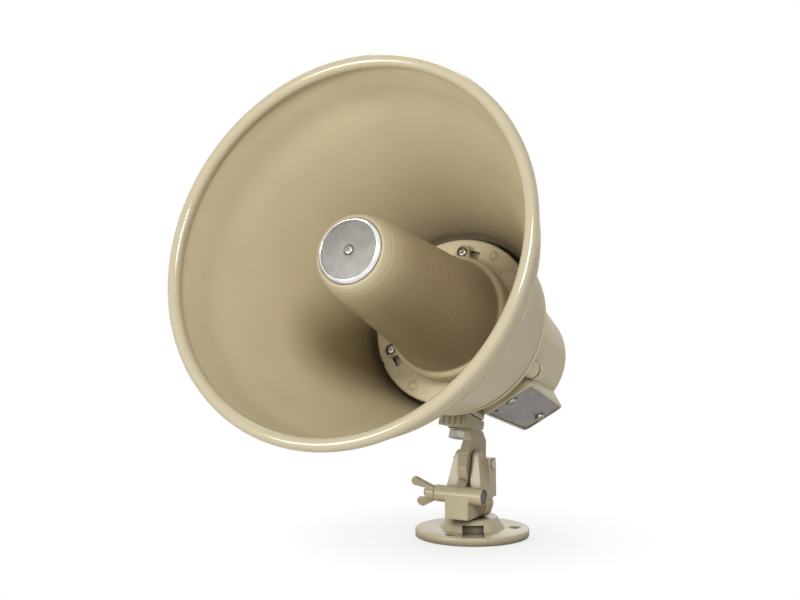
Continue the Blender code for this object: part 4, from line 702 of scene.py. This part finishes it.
def make_cover():
    """Cover of the terminal box with a dish round each screw and one small hole."""
    cover = slab("cover", box_outline(1.9), -1.6, -0.4, 0.25)
    cut(cover, put(disc("dot", 1.3, 3, -3, 24), shift(-12.3, -6.4, 0)))
    for y in COVER_SCREWS:
        cut(cover, put(disc("hole", 1.8, 3, -3, 24), shift(0, y, 0)))
        dish = revolve("dish", [(0, 1), (4.6, 1), (4.6, -0.5), (3.9, -1.1), (0, -1.1)], 40)
        cut(cover, put(dish, shift(0, y, 0)))
    return cover


NOSE_RING = [(18.55, 158.9), (18.7, 159.3), (18.95, 159.45), (19.3, 159.35), (20.9, 157.75),
             (21.1, 157.35), (21.1, 156.7), (18.55, 156.7)]
NOSE_PLATE = [(1.9, 157.5), (2.9, 157.6), (3.5, 158.6), (3.7, 158.75), (18.1, 158.75),
              (18.4, 158.55), (18.4, 156.7), (1.9, 156.7)]

show(revolve("bell", bell_profile(), 160, True), "bell", "head", BEIGE_BELL, HORN, 40)
show(make_reflector(), "reflector", "head", BEIGE_RINGS, HORN)
show(make_plate(), "reflector_plate", "head", BEIGE_PLATE_LIT, HORN)
show(revolve("ring", NOSE_RING, 144, True), "nose_ring", "head", BRIGHT, HORN)
show(revolve("cap", NOSE_PLATE, 128, True), "nose_plate", "head", BRUSHED, HORN)
show(phillips(2.7, 1.3, 1.5, 6.0), "nose_screw", "head", ZINC, HORN @ shift(0, 0, 157.7))
for number, degrees in enumerate(LUG_ANGLES, 1):
    at_lug = HORN @ polar(LUG_RADIUS, degrees, 15.3)
    show(phillips(3.0, 1.9, 1.6, 7.4), "reflector_screw_%d" % number, "head", ZINC, at_lug)
for number, degrees in enumerate(EAR_ANGLES, 1):
    at_ear = HORN @ polar(EAR_RADIUS, degrees, -28.6) @ Matrix.Rotation(math.pi, 4, "X")
    show(phillips(3.1, 2.6, 2.0, 36.5, 32), "through_screw_%d" % number, "head", ZINC, at_ear)
show(make_housing(), "throat_housing", "head", BEIGE, HORN)
show(make_can(), "rear_can", "head", BEIGE, HORN)
show(disc("gasket", 57.0, -0.6, -1.6, 128, 14.6, 0.2), "bell_gasket", "head", RUBBER, HORN)
show(make_cover(), "terminal_cover", "head", GREY, BOX)
for number, y in enumerate(COVER_SCREWS, 1):
    at_screw = BOX @ shift(0, y, -1.1)
    show(phillips(3.3, 3.1, 1.5, 4.0), "cover_screw_%d" % number, "head", ZINC, at_screw)


# Foot bolt and lock washer

def make_foot_bolt():
    """Hex bolt: the head runs from z = -4.6 to 0, the shank up."""
    corners = [math.tau * i / 6 for i in range(6)]
    head = slab("bolt", [(5.6 * math.cos(a), 5.6 * math.sin(a)) for a in corners], -4.6, 0)
    chamfer = [(0, 0.5), (9, 0.5), (9, -3.2), (6.2, -3.2), (4.7, -4.7), (0, -4.7)]
    boolean(head, revolve("chamfer", chamfer, 64), "INTERSECT")
    return gather(head, disc("shank", 3.0, 17.5, -0.5, 40, 0, 0.4))


def make_lock_washer():
    lock = disc("lock", 4.8, -0.05, -1.0, 64, 3.3, 0.15)
    split = block("split", (2, -0.5, -3), (6, 0.5, 3))
    return cut(lock, put(split, Matrix.Rotation(0.6, 4, "Z")))


AT_BOLT = HORN @ shift(0, -67.2, FOOT_BOLT_HEIGHT) @ ALONG_Y
AT_WASHER = HORN @ shift(0, -65.9, FOOT_BOLT_HEIGHT) @ ALONG_Y
show(make_foot_bolt(), "foot_bolt", "head", ZINC, AT_BOLT)
show(make_lock_washer(), "foot_lock_washer", "head", ZINC, AT_WASHER)


# Bracket and base

def make_base():
    """Flange with cone hub, screw holes, strap openings and the swivel bore."""
    profile = [(0, 2.5), (6.7, 2.5), (6.7, 13.0), (7.1, 13.5), (16.6, 13.5), (17.2, 13.1),
               (21.3, 6.3), (22.2, 5.6), (37.9, 5.5), (38.5, 5.2), (38.7, 4.7), (38.7, 0.8),
               (38.3, 0.2), (37.7, 0.0), (0, 0)]
    base = revolve("base", profile, 144)
    screw_hole = [(0, 8), (4.3, 8), (4.3, 5.35), (3.6, 4.9), (3.6, -2), (0, -2)]
    for degrees in (0, 120, 240):
        cut(base, put(revolve("hole", screw_hole, 40), polar(28.7, degrees)))
    openings = (("window", 23.5, 5.5, 10.3), ("slot", 18.5, -2, 7.9), ("channel", 34.5, 4.3, 7.9))
    for side in (-1, 1):
        for name, reach, low, high in openings:
            near, far = sorted((side * 14.0, side * reach))
            cut(base, block(name, (-7.15, near, low), (7.15, far, high)))
    return base


FACING = ((-8.7, -24.1, 14.7), (8.7, -19.0, 30.7))
CLAMP_BOLT = [(0, 17.0), (3.9, 17.0), (4.1, 17.3), (4.5, 17.2), (4.8, 16.8), (4.8, 13.7),
              (3.0, 13.7), (3.0, -25.8), (2.4, -26.4), (0, -26.4)]
PIN = [(0, 14.9), (2.6, 14.85), (3.3, 14.6), (3.4, 14.3), (2.6, 14.3), (2.6, -14.3), (3.4, -14.3),
       (3.3, -14.6), (2.6, -14.85), (0, -14.9)]

cast("tilt_arm", "head", BEIGE_ARM_SHADED, 0.00032, 4)
cast("yoke", "yoke", BEIGE_BRACKET_SHADED, 0.00036, 5, block("facing", *FACING))
cast("wing_nut", "wing_nut", BEIGE_BRACKET_SHADED, 0.00028, 8)
show(revolve("bolt", CLAMP_BOLT, 64), "clamp_bolt", "yoke", DARK_STEEL,
     Matrix.Translation(BARREL) @ ALONG_X)
show(revolve("pin", PIN, 48), "pivot_pin", "yoke", STEEL, Matrix.Translation(PIVOT) @ ALONG_X)
show(make_base(), "base_flange", "base", BEIGE_BASE, spin(28))


# Finishes of the nodes that keep their own shape

FINISHES = {
    STEEL: ("swivel_retainer", "brake_shoe"),
    RUBBER: ("can_gasket",),
    BLACK_PLASTIC: ("tone_tube", "phase_plug", "diaphragm_ring", "terminal_block"),
    RESIN: ("diaphragm",),
    COPPER: ("voice_coil",),
    ZINC: ("top_plate", "back_plate_and_pole", "driver_screw_1", "driver_screw_2",
           "driver_screw_3", "driver_screw_4"),
    FERRITE: ("magnet",),
    BRASS: ("terminal_screw_1", "terminal_screw_2"),
}
for material, names in FINISHES.items():
    for name in names:
        for place in NODES[name].material_slots:
            place.material = material


# Camera, floor and light, in metres

CAMERA_PLACE = (0.55614, -1.11203, 0.2552)
CAMERA_RIGHT = Vector((0.87586, 0.48254, 0.00154))
CAMERA_UP = Vector((-0.03807, 0.06591, 0.99708))
CAMERA_BACK = Vector((0.48107, -0.87337, 0.07612))
WHITE = (1, 1, 1, 1)
LAMPS = (
    ("key", (-0.795, -1.785, 0.414), (0, -0.08, 0.15), 0.7, 17),
    ("side", (0.924, -1.400, 1.157), (0, -0.08, 0.15), 0.7, 22.5),
    ("top", (-0.5, 0.6, 1.8), (0, 0, 0.15), 0.9, 10),
    ("rear", (-0.7, 1.7, 0.8), (0, 0, 0.15), 1.0, 4),
)


def make_camera():
    camera = bpy.data.cameras.new("camera")
    camera.lens = 83.27
    camera.sensor_width = 36
    camera.clip_end = 20
    eye = bpy.data.objects.new("camera", camera)
    turn = Matrix((CAMERA_RIGHT, CAMERA_UP, CAMERA_BACK)).transposed().to_4x4()
    eye.matrix_world = Matrix.Translation(CAMERA_PLACE) @ turn
    bpy.context.scene.collection.objects.link(eye)
    bpy.context.scene.camera = eye


def make_floor():
    """Pale floor that fades into the white surroundings."""
    n = Nodes("floor")
    n.shader.inputs["Base Color"].default_value = (0.90, 0.90, 0.895, 1)
    n.shader.inputs["Roughness"].default_value = 0.8
    coords = n.add("ShaderNodeTexCoord")
    far = n.add("ShaderNodeVectorMath", operation="LENGTH")
    n.link(coords, "Object", far, 0)
    fade = n.ramp(far, "Value", 0.03, 0.13, 0.70, 1.0)
    glow = n.add("ShaderNodeEmission", Color=WHITE, Strength=1.0)
    seen = n.add("ShaderNodeLightPath")
    glow_mask = n.add("ShaderNodeMath", operation="MULTIPLY")
    n.link(fade, 0, glow_mask, 0)
    n.link(seen, "Is Camera Ray", glow_mask, 1)
    blend = n.add("ShaderNodeMixShader")
    n.link(glow_mask, 0, blend, 0)
    n.link(n.shader, 0, blend, 1)
    n.link(glow, 0, blend, 2)
    n.link(blend, 0, n.tree.nodes["Material Output"], "Surface")
    shape = bmesh.new()
    bmesh.ops.create_circle(shape, cap_ends=True, segments=96, radius=3.0)
    floor = to_object("floor", shape)
    floor.location = (0, 0, -0.0004)
    floor.data.materials.append(n.material)
    bpy.context.scene.collection.objects.link(floor)


def make_world():
    """Dim warm surroundings, white where the camera sees them straight or in a reflection."""
    world = bpy.data.worlds.new("studio")
    world.use_nodes = True
    tree = world.node_tree
    dim = tree.nodes["Background"]
    dim.inputs["Color"].default_value = (1.0, 0.985, 0.96, 1)
    dim.inputs["Strength"].default_value = 0.12
    white = tree.nodes.new("ShaderNodeBackground")
    white.inputs["Color"].default_value = WHITE
    white.inputs["Strength"].default_value = 1.0
    path = tree.nodes.new("ShaderNodeLightPath")
    mirrored = tree.nodes.new("ShaderNodeMath")
    mirrored.operation = "MAXIMUM"
    tree.links.new(path.outputs["Is Glossy Ray"], mirrored.inputs[0])
    tree.links.new(path.outputs["Is Transmission Ray"], mirrored.inputs[1])
    seen = tree.nodes.new("ShaderNodeMath")
    seen.operation = "MAXIMUM"
    tree.links.new(path.outputs["Is Camera Ray"], seen.inputs[0])
    tree.links.new(mirrored.outputs[0], seen.inputs[1])
    blend = tree.nodes.new("ShaderNodeMixShader")
    tree.links.new(seen.outputs[0], blend.inputs[0])
    tree.links.new(dim.outputs[0], blend.inputs[1])
    tree.links.new(white.outputs[0], blend.inputs[2])
    tree.links.new(blend.outputs[0], tree.nodes["World Output"].inputs["Surface"])
    bpy.context.scene.world = world


def make_lamp(name, place, target, size, power):
    lamp = bpy.data.lights.new(name, "AREA")
    lamp.shape = "DISK"
    lamp.size = size
    lamp.energy = power
    obj = bpy.data.objects.new(name, lamp)
    obj.location = place
    aim = Vector(target) - Vector(place)
    obj.rotation_euler = aim.to_track_quat("-Z", "Y").to_euler()
    bpy.context.scene.collection.objects.link(obj)


make_camera()
make_floor()
make_world()
for lamp_values in LAMPS:
    make_lamp(*lamp_values)

bpy.context.scene.view_settings.view_transform = "Standard"
